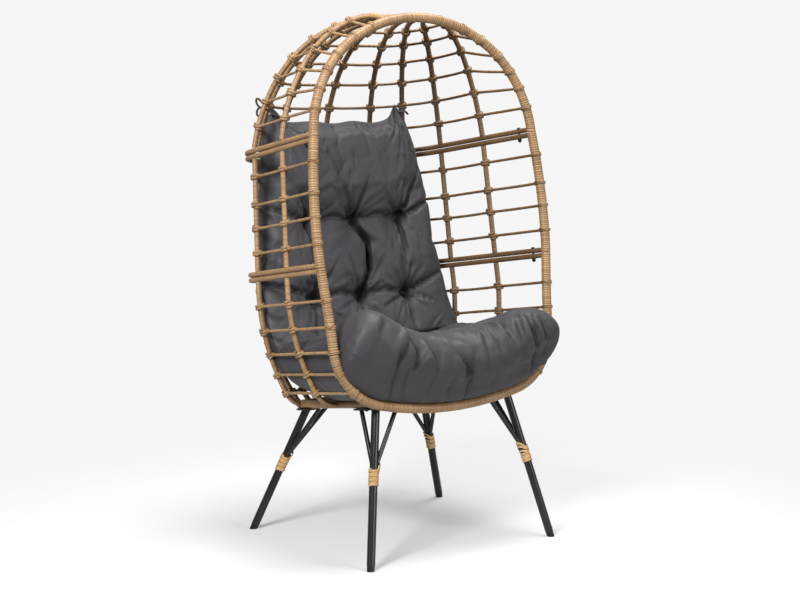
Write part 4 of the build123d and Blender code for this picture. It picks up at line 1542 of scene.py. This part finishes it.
    def back_folds(self, upper: float, lower: float) -> list[Fold]:
        """Lay out the folds of the back, which run between its tufts and out to its corners.

        Args:
            upper: How far down the sheet the upper tufts lie.
            lower: How far down the lower tufts lie.

        Returns:
            The folds.
        """
        left, middle, right = self.tuft_columns
        folds = [
            Fold((middle, upper), (36, upper + 66), 34, 11, 0.0),
            Fold((36, upper + 66), (34, lower - 74), 34, 11, 0.1),
            Fold((34, lower - 74), (middle - 6, lower), 32, 11, 0.0),
            Fold((right, upper), (166, upper + 110), 24, 11, 0.7),
            Fold((right, lower), (148, lower - 110), 18, 11, 0.8),
            Fold((left, upper), (-150, upper + 120), 24, 11, 0.6),
            Fold((left, lower), (-142, lower - 100), 20, 11, 0.6),
            Fold((middle, lower), (92, lower - 116), 17, 12, 0.8),
            Fold((middle, upper), (44, upper - 124), 18, 13, 0.8),
            Fold((middle, upper), (-78, upper - 190), 14, 14, 0.7),
            Fold((right, upper), (204, upper - 84), 22, 11, 0.3),
            Fold((204, upper - 84), (230, upper - 150), 15, 12, 0.5),
            Fold((left, upper), (-182, upper - 90), 20, 11, 0.5),
        ]
        for row in (upper, lower):
            for start, end in ((left, middle), (middle, right)):
                halfway = ((start + end) / 2, row - 14)
                folds.append(Fold((start, row), halfway, 18, 12, 0.45))
                folds.append(Fold((end, row), halfway, 18, 12, 0.45))
            for sign, outer in ((-1, left), (1, right)):
                folds.append(Fold((outer, row), (sign * 300, row - 62), 18, 12, 0.45))
        for x in self.tuft_columns:
            folds.append(Fold((x, lower), (x * 1.1 - 8, self.crease - 10), 16, 12, 0.6))
            folds.append(Fold((x, lower), (x * 0.7 + 58, lower + 110), 14, 11, 0.8))
        for sign in (-1, 1):
            for x, down in ((92, 128), (140, 168), (176, 190), (214, 170)):
                folds.append(Fold((sign * 192, 4), (sign * x, down), 12, 8, 0.85))
            folds.append(Fold((sign * 40, 8), (sign * 58, 120), 7, 11, 0.9))
        for row, turn in ((upper, -1), (lower, -1), (lower, 1)):
            for x in self.tuft_columns:
                folds += self.fan((x, row), turn)
        return folds

    def fan(self, tuft: Pair, turn: int) -> list[Fold]:
        """Spread shallow folds from a tuft, up the sheet for a turn of -1 and down it for 1.

        Args:
            tuft: Where they start.
            turn: The way that they go.

        Returns:
            The folds.
        """
        folds = []
        for lean in self.fan_leans:
            angle = radians(lean + self.dice.uniform(-self.fan_jitter, self.fan_jitter))
            folds.append(self.drawn_fold(tuft, (sin(angle), turn * cos(angle)), self.fan_size))
        return folds

    def drawn_fold(self, start: Pair, way: Pair, size: Scatter) -> Fold:
        """Draw a chance fold from a place and a direction across and down the sheet.

        Args:
            start: Where it starts.
            way: Its direction.
            size: The ranges that it is drawn from.

        Returns:
            The fold.
        """
        reach = self.dice.uniform(*size.reach)
        end = (start[0] + reach * way[0], start[1] + reach * way[1])
        depth = self.dice.uniform(*size.depth)
        width = self.dice.uniform(*size.width)
        return Fold(start, end, depth, width, size.fade, size.ridge)

    def seat_folds(self, seat: float) -> list[Fold]:
        """Lay out the folds of the seat, which run from its tufts over the front roll.

        Args:
            seat: How far down the sheet the seat's tufts lie.

        Returns:
            The folds.
        """
        end = self.marks[-1]
        folds = [Fold((-320, self.crease), (320, self.crease), 26, 20, 0.0)]
        left, middle, right = self.tuft_columns
        for start, stop in ((left, middle), (middle, right)):
            halfway = ((start + stop) / 2, seat + 10)
            folds.append(Fold((start, seat), halfway, 17, 13, 0.5))
            folds.append(Fold((stop, seat), halfway, 17, 13, 0.5))
        for x in self.tuft_columns:
            folds.append(Fold((x, seat), (x * 1.05, self.crease + 12), 16, 13, 0.6))
            folds.append(Fold((x, seat), (x * 0.8 - 42, seat + 150), 18, 12, 0.7))
            folds.append(Fold((x, seat), (x * 1.3 + 34, seat + 165), 18, 12, 0.7))
        for sign, outer in ((-1, left), (1, right)):
            folds.append(Fold((outer, seat), (sign * 300, seat - 30), 16, 13, 0.6))
            folds.append(Fold((outer, seat), (sign * 290, seat + 90), 15, 12, 0.6))
        for x, above, low_x, low_above, depth, fade in (
            (-84, 48, -61, 28, 14, -0.8),
            (-61, 28, -22, 14, 26, -0.2),
            (-22, 14, 5, 5, 32, 0.2),
            (5, 5, 26, 0, 25, 0.3),
            (-196, 30, -187, 19, 16, -0.5),
            (-187, 19, -162, 9, 28, 0.0),
            (-162, 9, -158, 1, 28, 0.4),
            (-199, 12, -204, 0, 20, 0.1),
            (-124, 17, -92, 8, 22, 0.5),
            (88, 30, 81, 8, 15, 0.6),
            (166, 62, 172, 17, 28, 0.3),
            (120, 40, 126, 14, 16, 0.5),
            (244, 26, 240, 10, 26, -0.2),
            (240, 10, 236, 0, 32, 0.1),
            (277, 16, 273, 0, 30, 0.2),
            (-270, 22, -276, 8, 12, 0.5),
            (206, 24, 200, 8, 14, 0.5),
        ):
            start, stop = (x, end - above), (low_x, end - low_above)
            folds.append(Fold(start, stop, depth, self.front_width, fade, self.front_ridge))
        return folds

    def under_folds(self) -> list[Fold]:
        """Lay out the folds of the front roll below its seam, which carry on from those above.

        Returns:
            The folds.
        """
        end = self.marks[-1]
        folds = []
        for x, low_x, reach, depth in (
            (26, 12, 56, 20),
            (-204, -192, 26, 18),
            (-172, -156, 22, 13),
            (236, 212, 28, 28),
            (-36, -30, 22, 14),
            (273, 262, 14, 22),
            (104, 96, 20, 9),
            (-96, -88, 18, 8),
        ):
            low = (low_x, end - reach)
            folds.append(Fold((x, end), low, depth, self.front_width, self.under_fade, self.under_ridge))
        return folds

    def spread_rows(self) -> list[float]:
        """Place the cover's rows, closer together over the front roll and the top edge.

        Returns:
            How far down the sheet each row lies.
        """
        end = self.marks[-1]
        places = [end * share for share in shares(self.row_steps)]
        weights = []
        for place in places:
            near_front = exp((place - end) / self.close_rows)
            weights.append(1 + self.front_rows * near_front + exp(-place / self.close_rows))
        total, reached, marks = sum(weights[1:]), 0.0, [0.0]
        for place, weight in zip(places[1:], weights[1:]):
            reached += weight
            while len(marks) <= self.rows and reached >= total * len(marks) / self.rows - WELD:
                marks.append(place)
        return marks

    def small_folds(self) -> list[Fold]:
        """Scatter short wrinkles that point roughly at the nearest tuft.

        Returns:
            The wrinkles.
        """
        folds = []
        half, turn, (top, bottom) = self.wrinkle_half_width, self.wrinkle_turn, self.wrinkle_ends
        for _ in range(self.wrinkles):
            x, down = self.dice.uniform(-half, half), self.dice.uniform(top, self.marks[-1] - bottom)
            near_x, near_d = min(self.tufts, key=lambda t: hypot(t[0] - x, t[1] - down))
            angle = atan2(near_d - down, near_x - x) + self.dice.uniform(-turn, turn)
            folds.append(self.drawn_fold((x, down), (cos(angle), sin(angle)), self.wrinkle_size))
        return folds

    def dent(self, x: float, down: float, face: int) -> Triple:
        """Read one face at one place.

        Args:
            x: Distance across the sheet.
            down: Distance down the sheet.
            face: 1 for the sitter's panel, -1 for the panel behind.

        Returns:
            How deep it is drawn in, how firmly it is held there, and how much painted shade it gets in a
            crease or round a tuft.
        """
        creased, raised, held, dark = 0.0, 0.0, 0.0, 0.0
        for fold in self.creases if face > 0 else self.under_creases:
            depth, grip = fold.at(x, down)
            creased, raised = max(creased, depth), min(raised, depth)
            held = max(held, grip * min(1.0, (fold.depth / self.firm_depth) ** 2))
            dark = max(dark, grip * min(1.0, fold.depth / self.dark_depth))
        away = min(hypot(x - a, down - b) for a, b in self.tufts)
        pulled = self.tuft_depth * exp(-((away / self.tuft_reach) ** self.tuft_curve))
        pulled *= 1.0 if face > 0 else self.rear_tuft_share
        deep = max(creased, pulled) + self.overlap * min(creased, pulled) + raised
        firm = 1.0 if away < self.tuft_button else self.fold_hold * held
        # Painted shade also darkens a small disc round each tuft's button.
        return deep, firm, max(dark, exp(-((away / self.tuft_button) ** 2)))

    def point(self, across: float, down: float, face: int, dent: float) -> Vector:
        """Place one point of a panel before it is stuffed.

        Args:
            across: From -1 at the left edge to 1 at the right edge.
            down: Distance down the sheet in millimetres.
            face: 1 for the sitter's panel, -1 for the panel behind.
            dent: How deep the sitter's face is drawn in there, in millimetres.

        Returns:
            The point in the chair, in metres.
        """
        half = self.read("half_width", down)
        side, corner = self.read("side_lift", down), self.read("corner_lift", down)
        power, size = self.corner_power, abs(across)
        lift = side * across**2 + corner * size**power
        slope = (2 * side * across + power * corner * copysign(size ** (power - 1), across)) / half
        before, after = down - self.slope_step, down + self.slope_step
        step_v, step_w = (self.read(part, after) - self.read(part, before) for part in "vw")
        if abs(step_v) + abs(step_w) < WELD:
            step_w = -1.0
        run = hypot(step_v, step_w)
        out = Vector((-slope, step_w / run, -step_v / run)).normalized()
        on_seat = smooth((down - self.crease + self.bend_reach) / (2 * self.bend_reach))
        on_back, bend = 1 - on_seat, on_seat * pi / 2
        rising = Vector((0, -cos(bend), sin(bend)))
        edge = max(0.0, 1 - size ** (self.edge_power * (1 + on_seat))) ** 0.5
        thick = max(2 * self.seam_half, self.read("thickness", down) * edge)
        reach = thick / 2 - min(dent, self.deepest_share * thick)
        leftwards, rightwards = max(0.0, -across), max(0.0, across)
        lift *= 1 - self.left_fall * leftwards * on_back
        middle = Vector((half * across, self.read("v", down), self.read("w", down)))
        if face > 0:
            puffed = smooth((down - self.crease - self.puff_start) / self.puff_run)
            lift += self.left_puff * leftwards**self.puff_power * edge * puffed
        else:
            filled = smooth((middle.y - self.under_start) / self.under_run)
            reach += self.under_fill * lift * edge * on_seat * filled
        peak = self.corner_peak * size**self.peak_power + self.top_wave * sin(self.top_waves * across)
        middle.z += peak * exp(-down / self.peak_reach)
        from_spill = (middle.z - self.spill_height) / self.spill_spread
        spill = self.spill * leftwards**self.spill_power * exp(-(from_spill**2)) * on_back
        wider = self.left_reach + self.left_corner * exp(-down / self.corner_reach)
        wider = wider * leftwards**2 * on_back - self.right_reach * rightwards**2 * on_seat
        middle += Vector((-spill - wider, spill, 0))
        return self.basket.place(*(middle + rising * lift + out * face * reach))

    def panel(self, bm: bmesh.types.BMesh, face: int) -> None:
        """Cut one panel as a grid and lay it over the stuffing.

        Args:
            bm: Where the panel goes.
            face: 1 for the sitter's panel, -1 for the panel behind.
        """
        grid = bmesh.ops.create_grid(bm, x_segments=self.columns, y_segments=self.rows, size=0.5)["verts"]
        cut = bm.verts.layers.float_vector["cut"]
        pin, crease, ruck = (bm.verts.layers.float[name] for name in ("pin", "crease", "ruck"))
        least, most = self.press_limits
        for vert in grid:
            across, down = vert.co.x * 2, self.row_marks[round((0.5 - vert.co.y) * self.rows)]
            x = across * self.read("half_width", down)
            dent, held, dark = self.dent(x, down, face)
            vert[cut] = (x * MM, down * MM, face)
            # The crease layer carries the painted shade for the cloth's colour.
            vert[pin], vert[crease] = held, dark
            small = 0.0
            for fold in self.rucks:
                if max(abs(fold.start[0] - x), abs(fold.start[1] - down)) < self.wrinkle_reach:
                    small += fold.at(x, down)[0]
            over_front = smooth((down - self.marks[-1] + self.front_start) / self.front_run)
            share = dark + over_front * (1 - dark)
            vert[ruck] = min(self.wrinkle_limit, small) + self.press * share * max(least, min(dent, most))
            vert.co = self.point(across, down, face, dent)

    def sew(self) -> Object:
        """Sew the two panels together round their edge.

        Returns:
            The cushion before it is stuffed, with its cut as a UV map and its tufts and folds in a group.
        """
        bm = bmesh.new()
        bm.verts.layers.float_vector.new("cut")
        for name in ("pin", "crease", "ruck"):
            bm.verts.layers.float.new(name)
        for face in (1, -1):
            self.panel(bm, face)
        rims = [e for e in bm.edges if e.is_boundary]
        bmesh.ops.bridge_loops(bm, edges=rims)
        bmesh.ops.recalc_face_normals(bm, faces=bm.faces[:])
        cut, pin = bm.verts.layers.float_vector["cut"], bm.verts.layers.float["pin"]
        uv = bm.loops.layers.uv.new("cut_map")
        for each in bm.faces:
            for loop in each.loops:
                loop[uv].uv = loop.vert[cut].xy
        pinned = [(i, vert[pin]) for i, vert in enumerate(bm.verts) if vert[pin] > self.least_hold]
        piece = finish_mesh(bm, "tufted_cushion")
        group = piece.vertex_groups.new(name="held")
        for i, weight in pinned:
            group.add([i], weight, "REPLACE")
        return piece

    def stuff(self, piece: Object) -> None:
        """Blow the cover up like a filled bag, hold it at its tufts and folds, and keep the result.

        Args:
            piece: The sewn cover, which is changed.
        """
        before = [vert.co.copy() for vert in piece.data.vertices]
        swell = piece.modifiers.new("swell", "CLOTH")
        cloth = swell.settings
        cloth.quality = 5
        cloth.mass = 0.3
        cloth.tension_stiffness = cloth.compression_stiffness = 15
        cloth.shear_stiffness = 5
        cloth.bending_stiffness = 0.3
        cloth.use_pressure = True
        cloth.uniform_pressure_force = self.pressure
        cloth.effector_weights.gravity = 0
        cloth.vertex_group_mass = "held"
        swell.collision_settings.use_collision = False
        swell.point_cache.frame_start, swell.point_cache.frame_end = 1, self.frames
        scene = bpy.context.scene
        for step in range(1, self.frames + 1):
            scene.frame_set(step)
        filled = piece.evaluated_get(bpy.context.evaluated_depsgraph_get()).to_mesh()
        after = [vert.co.copy() for vert in filled.vertices]
        piece.modifiers.remove(swell)
        scene.frame_set(1)
        for vert, old, new in zip(piece.data.vertices, before, after):
            move = new - old
            if move.length > self.cap * MM:
                move *= self.cap * MM / move.length
            vert.co = old + move

    def rumple(self, piece: Object) -> None:
        """Press the folds and wrinkles into the stuffed cover, then ease them over its front.

        Args:
            piece: The stuffed cover, which is changed.
        """
        mesh = piece.data
        mesh.update()
        inward = [-vert.normal for vert in mesh.vertices]
        for vert, way, ruck in zip(mesh.vertices, inward, mesh.attributes["ruck"].data):
            vert.co += way * ruck.value * MM
        bm = bmesh.new()
        bm.from_mesh(mesh)
        cut = bm.verts.layers.float_vector["cut"]
        front = [vert for vert in bm.verts if vert[cut].y > (self.marks[-1] - self.eased_reach) * MM]
        every_way = {"use_axis_x": True, "use_axis_y": True, "use_axis_z": True}
        for _ in range(self.easings):
            bmesh.ops.smooth_vert(bm, verts=front, factor=self.easing, **every_way)
        bm.to_mesh(mesh)
        bm.free()

    def hole(self, share: float, height: float) -> float:
        """Give how far the cover may bulge at a share of the way between ribs, from 0 at a strand to 1.

        Args:
            share: The way from rib to rib, from 0 to 1.
            height: The height.

        Returns:
            The share of the full bulge.
        """
        for low, high in zip(self.levels, self.levels[1:]):
            if low <= height < high:
                between = sin(pi * (height - low) / (high - low))
                return between * max(0.0, sin(pi * share))
        return 0.0

    def drop_to_sill(self, here: Vector) -> None:
        """Bring a point of the front's underside down onto the hoop."""
        if abs(here.y) < self.sill_reach and abs(here.x) < self.sill_half_width:
            sill = min(self.hoop, key=lambda p: abs(p.x - here.x)).z
            here.z += min(0.0, sill + self.hoop_keep - here.z) * (1 - (here.y / self.sill_reach) ** 2)

    def draw_in(self, here: Vector) -> None:
        """Bring a point back inside the lattice, apart from the bulge that its holes let through.

        Args:
            here: The point, which is changed.
        """
        level = round(here.z)
        if level not in self.outlines:
            self.outlines[level] = self.basket.inside_outline(level)
        outline = self.outlines[level]
        for (ax, av), (cx, cv) in zip(outline, outline[1:]):
            span = Vector((cx - ax, cv - av))
            run = span.normalized()
            inward = Vector((run.y, -run.x))
            from_rib = Vector((here.x - ax, here.y - av))
            share = from_rib.dot(run) / span.length
            bulge = self.bulge * self.hole(share, here.z) if 0 < share < 1 else 0.0
            short = self.lattice_gap - bulge - from_rib.dot(inward)
            if short > 0:
                here.x += inward.x * short
                here.y += inward.y * short

    def off_hoop(self, here: Vector) -> Vector:
        """Give a point as it is, or moved straight out of the hoop's tube if it lies in it.

        Args:
            here: The point.

        Returns:
            The point clear of the hoop.
        """
        if abs(here.y) >= self.hoop_reach or here.z >= 0:
            return here
        near = min(self.hoop, key=lambda p: (p - here).length_squared)
        away = here - near
        if away.length >= self.hoop_keep:
            return here
        return near + away.normalized() * self.hoop_keep

    def settle(self, piece: Object) -> None:
        """Press the cushion back where it would cut into the lattice, the hoop or the base.

        Args:
            piece: The rumpled cover, which is changed.
        """
        b = self.basket
        floor = -b.base_drop + b.base_radius + self.base_gap
        for vert, cut in zip(piece.data.vertices, piece.data.attributes["cut"].data):
            here = b.local(vert.co)
            if cut.vector.z < 0:
                self.drop_to_sill(here)
            if here.y > self.lattice_front:
                self.draw_in(here)
                here.z = max(here.z, floor)
            vert.co = b.place(*self.off_hoop(here))

    def build(self) -> None:
        """Sew, stuff and settle the cushion."""
        piece = self.sew()
        self.stuff(piece)
        self.rumple(piece)
        self.settle(piece)
        smoother = piece.modifiers.new("round", "SUBSURF")
        smoother.levels = smoother.render_levels = 1
        fit_out(piece, self.palette.cushion, "cushion_cloth", "cushion")


@dataclass(frozen=True)
class TieSpot:
    """Where a tie holds a rib: its middle, the way along the rib and the way in to the cushion."""

    centre: Vector
    way: Vector
    inward: Vector

    @property
    def aside(self) -> Vector:
        """Give the way across the rib and across the tie."""
        return self.way.cross(self.inward)


@dataclass
class Ties:
    """The two fabric ties: tape wound round a rib, a strap from the cushion's corner, and a bow or a knot."""

    basket: Basket
    wicker: WickerFrame
    cushion: Cushion
    palette: Palette
    height: float = 460.0
    half_widths: Pair = (5.0, 5.0)
    half_thickness: float = 0.8
    rolled_thickness: float = 3.0
    rib_gap: float = 1.6
    strap_half_widths: Pair = (15.0, 6.0)
    bow_way: Triple = (-0.8, 0.6, 0.0)
    loops: Pairs = ((0.75, 34.0), (-0.55, 30.0))
    tails: Pairs = ((0.5, 34.0), (-0.7, 28.0))
    ring_gap, least_rings, tape_sides = 3.0, 8, 8
    wind_rise, wind_lean, wind_steps = 3.2, 2.4, 32
    corner_share, corner_down = 0.95, 5.0
    strap_sunk, strap_bow, strap_steps = 16.0, 3.0, 12
    knot_out, knot_half_sizes, knot_steps = 3.0, (4.0, 3.4), 16
    curl_steps = 24
    knot_half_widths, loop_half_widths, tail_half_widths = (4.5, 4.5), (4.6, 4.6), (3.6, 3.0)
    loop_spread, tail_spread = 11.0, 10.0
    tail_out, tail_lean = 0.6, 0.5
    short_tail, short_tail_lean, short_tail_fall = 0.55, 1.6, 0.2

    @property
    def ring(self) -> float:
        """Give the radius of the tape's turns round a rib, in metres."""
        return (self.basket.rib_radius + self.rib_gap) * MM

    def tape(self, tube: TubeMesh, points: Sequence[Vector], wide: Pair, across: Vector, thin: float) -> None:
        """Lay one length of tape.

        Args:
            tube: Where it goes.
            points: Points that it passes through.
            wide: Its half width at its start and end, in millimetres.
            across: The way that its flat face looks at its start.
            thin: Half its thickness in millimetres.
        """
        line = Line(points)
        count = max(self.least_rings, int(line.length / (self.ring_gap * MM)))
        rings = []
        for share in shares(count):
            half = wide[0] + (wide[1] - wide[0]) * share
            rings.append(Ring(line.length * share, thin * MM, flatten=half / thin))
        tube.roll(line, rings, self.tape_sides, across)

    def curl(
        self, start: Vector, out: Vector, rise: Vector, reach: float, spread: float, whole: bool
    ) -> list[Vector]:
        """Bend tape into a bow's loop, or into a hanging tail.

        Args:
            start: Where it leaves the knot.
            out: The way that it goes.
            rise: The way that it bellies.
            reach: How far it goes, in millimetres.
            spread: How far it bellies, in millimetres.
            whole: Whether it comes back to the knot.

        Returns:
            Points along it.
        """
        points = []
        for share in shares(self.curl_steps):
            far = sin(pi * share) if whole else share
            belly = sin(2 * pi * share) if whole else share * share
            points.append(start + (out * reach * far + rise * spread * belly) * MM)
        return points

    def wind(self, tube: TubeMesh, spot: TieSpot) -> None:
        """Wind two turns of tape round the rib.

        Args:
            tube: Where it goes.
            spot: Where it holds the rib.
        """
        for turn in (-1, 1):
            points = []
            for share in shares(self.wind_steps):
                angle = 2 * pi * share
                lift = spot.way * (turn * self.wind_rise + self.wind_lean * cos(angle)) * MM
                out = spot.inward * cos(angle) + spot.aside * sin(angle)
                points.append(spot.centre + out * self.ring + lift)
            self.tape(tube, points, self.half_widths, spot.inward, self.half_thickness)

    def strap(self, tube: TubeMesh, spot: TieSpot, corner: Vector) -> None:
        """Lead the strap from the cushion's corner to the rib.

        Args:
            tube: Where it goes.
            spot: Where it holds the rib.
            corner: The cushion's corner.
        """
        hold = spot.centre + spot.inward * self.ring
        sunk = corner - self.basket.up() * self.strap_sunk * MM
        points = []
        for share in shares(self.strap_steps):
            points.append(sunk.lerp(hold, share) + spot.way * self.strap_bow * MM * sin(pi * share))
        self.tape(tube, points, self.strap_half_widths, spot.aside.cross(hold - sunk), self.half_thickness)

    def bow(self, tube: TubeMesh, spot: TieSpot, side: Side) -> None:
        """Knot the tape and leave its two tails, with two loops as well on the left.

        Args:
            tube: Where it goes.
            spot: Where it holds the rib.
            side: Which tie it is.
        """
        up, outside, thick = self.basket.up(), Vector(self.bow_way), self.rolled_thickness
        front = -spot.inward if side is Side.LEFT else spot.inward
        knot = spot.centre + front * (self.ring + self.knot_out * MM)
        wide, deep = self.knot_half_sizes
        points = []
        for share in shares(self.knot_steps):
            angle = 2 * pi * share
            round_it = spot.aside * cos(angle) * wide + front * sin(angle) * deep
            points.append(knot + round_it * MM)
        self.tape(tube, points, self.knot_half_widths, spot.aside, thick)
        for lean, reach in self.loops if side is Side.LEFT else ():
            way_out = (outside + up * lean).normalized()
            loop = self.curl(knot, way_out, up, reach, self.loop_spread, True)
            self.tape(tube, loop, self.loop_half_widths, up, thick)
        for lean, reach in self.tails:
            if side is Side.LEFT:
                hang = outside * (self.tail_out + self.tail_lean * lean) - up
            else:
                hang = spot.aside * lean * self.short_tail_lean - up * self.short_tail_fall
                reach *= self.short_tail
            tail = self.curl(knot, hang.normalized(), -up, reach, self.tail_spread, False)
            self.tape(tube, tail, self.tail_half_widths, front, thick)

    def tie(self, side: Side) -> None:
        """Make one tie: a bow outside the lattice on the left, a plain knot inside it on the right.

        Args:
            side: Which tie it is.
        """
        rib = self.wicker.hood_lines[f"c_{side.word}"]
        mark = self.basket.mark_at(rib, self.height)
        centre, way = rib.at(mark), rib.way(mark)
        across = self.corner_share * side.value
        fore, rear = (self.cushion.point(across, self.corner_down, face, 0) for face in (1, -1))
        corner = fore.lerp(rear, 0.5)
        inward = corner - centre
        spot = TieSpot(centre, way, (inward - way * inward.dot(way)).normalized())
        tube = TubeMesh()
        self.wind(tube, spot)
        self.strap(tube, spot, corner)
        self.bow(tube, spot, side)
        uv = tube.bm.loops.layers.uv.new("cut_map")
        for each in tube.bm.faces:
            for loop in each.loops:
                loop[uv].uv = (loop.vert[tube.along], loop.vert.co.dot(way))
        node = f"cushion_tie_{side.word}"
        fit_out(tube.piece(f"tape_{node}"), self.palette.tie, "tie_cloth", node)

    def build(self) -> None:
        """Make both ties."""
        for side in Side:
            self.tie(side)


# Studio


@dataclass(frozen=True)
class Studio:
    """The pale floor, the soft lamps and the camera at the photograph's angle."""

    camera_at: Triple = (-2.6953, -3.8376, 1.2188)
    yaw: float = 35.366
    pitch: float = -7.062
    lens: float = 77.5
    sensor: float = 36.0
    aim: Triple = (0.0, 0.0, 0.75)
    paper: float = 0.918
    room: float = 0.11
    gloss_share: float = 0.3
    lamps: tuple[tuple[str, Triple, float, float], ...] = (
        ("key", (-3.2, -1.7, 3.1), 1.3, 188),
        ("front", (1.4, -4.0, 1.7), 2.0, 70),
        ("top", (0.6, -0.2, 4.2), 1.6, 140),
    )

    def camera(self) -> None:
        """Stand the camera and make it the scene's own."""
        data = bpy.data.cameras.new("camera")
        data.lens = self.lens
        data.sensor_width = self.sensor
        data.sensor_fit = "HORIZONTAL"
        camera = bpy.data.objects.new("camera", data)
        bpy.context.scene.collection.objects.link(camera)
        yaw, pitch = radians(self.yaw), radians(self.pitch)
        look = Vector((sin(yaw) * cos(pitch), cos(yaw) * cos(pitch), sin(pitch)))
        camera.location = self.camera_at
        camera.rotation_mode = "QUATERNION"
        camera.rotation_quaternion = look.to_track_quat("-Z", "Y")
        bpy.context.scene.camera = camera

    def lamp(self, name: str, at: Triple, size: float, power: float) -> None:
        """Hang one square soft lamp that faces the chair.

        Args:
            name: Its name.
            at: Where it hangs, in metres.
            size: Its width in metres.
            power: Its power in watts.
        """
        data = bpy.data.lights.new(name, "AREA")
        data.size = size
        data.energy = power
        lamp = bpy.data.objects.new(name, data)
        lamp.location = at
        lamp.rotation_mode = "QUATERNION"
        lamp.rotation_quaternion = (Vector(self.aim) - Vector(at)).to_track_quat("-Z", "Y")
        bpy.context.scene.collection.objects.link(lamp)

    def world(self) -> None:
        """Light the room evenly, and show the pale paper to the camera and, fainter, to gloss."""
        world = bpy.data.worlds.new("studio")
        world.use_nodes = True
        bpy.context.scene.world = world
        sheet = Sheet(world.node_tree)
        background = world.node_tree.nodes["Background"]
        background.inputs["Color"].default_value = (1, 1, 1, 1)
        rays = sheet.add("ShaderNodeLightPath")
        seen = sheet.math("MAXIMUM", rays.outputs["Is Camera Ray"], rays.outputs["Is Transmission Ray"])
        gloss = sheet.math("MULTIPLY", rays.outputs["Is Glossy Ray"], self.gloss_share)
        seen = sheet.math("MAXIMUM", seen, gloss)
        sheet.put(background.inputs["Strength"], sheet.ramp(seen, 0.0, 1.0, self.room, self.paper))

    def floor(self) -> None:
        """Lay a pale round floor that fades into the paper."""
        bm = bmesh.new()
        bmesh.ops.create_circle(bm, cap_ends=True, segments=64, radius=3.0)
        floor = finish_mesh(bm, "floor")
        material = bpy.data.materials.new("floor_paper")
        material.use_nodes = True
        sheet = Sheet(material.node_tree)
        shader = material.node_tree.nodes["Principled BSDF"]
        place = sheet.add("ShaderNodeTexCoord").outputs["Object"]
        far = sheet.add("ShaderNodeVectorMath", {0: place}, operation="LENGTH").outputs["Value"]
        tooth = sheet.noise(place, 300.0, 2.0)
        sheet.put(shader.inputs["Base Color"], sheet.mix(tooth, (0.86, 0.86, 0.86, 1), (0.9, 0.9, 0.9, 1)))
        shader.inputs["Roughness"].default_value = 0.9
        shader.inputs["Specular IOR Level"].default_value = 0.1
        sheet.put(shader.inputs["Alpha"], sheet.ramp(far, 0.35, 1.5, 0.75, 0.0))
        floor.data.materials.append(material)

    def build(self) -> None:
        """Set up the whole studio."""
        bpy.context.scene.view_settings.view_transform = "Standard"
        self.camera()
        self.world()
        self.floor()
        for name, at, size, power in self.lamps:
            self.lamp(name, at, size, power)


def main() -> None:
    """Build the studio and dress every piece of the chair."""
    logging.basicConfig(level=logging.INFO, format="%(message)s")
    Studio().build()
    basket, palette = Basket(), Palette()
    wicker = WickerFrame(basket, palette)
    wicker.build()
    Strands(basket, wicker, palette).build()
    Legs(basket, palette).build()
    cushion = Cushion(basket, palette)
    cushion.build()
    Ties(basket, wicker, cushion, palette).build()


if __name__ == "__main__":
    main()
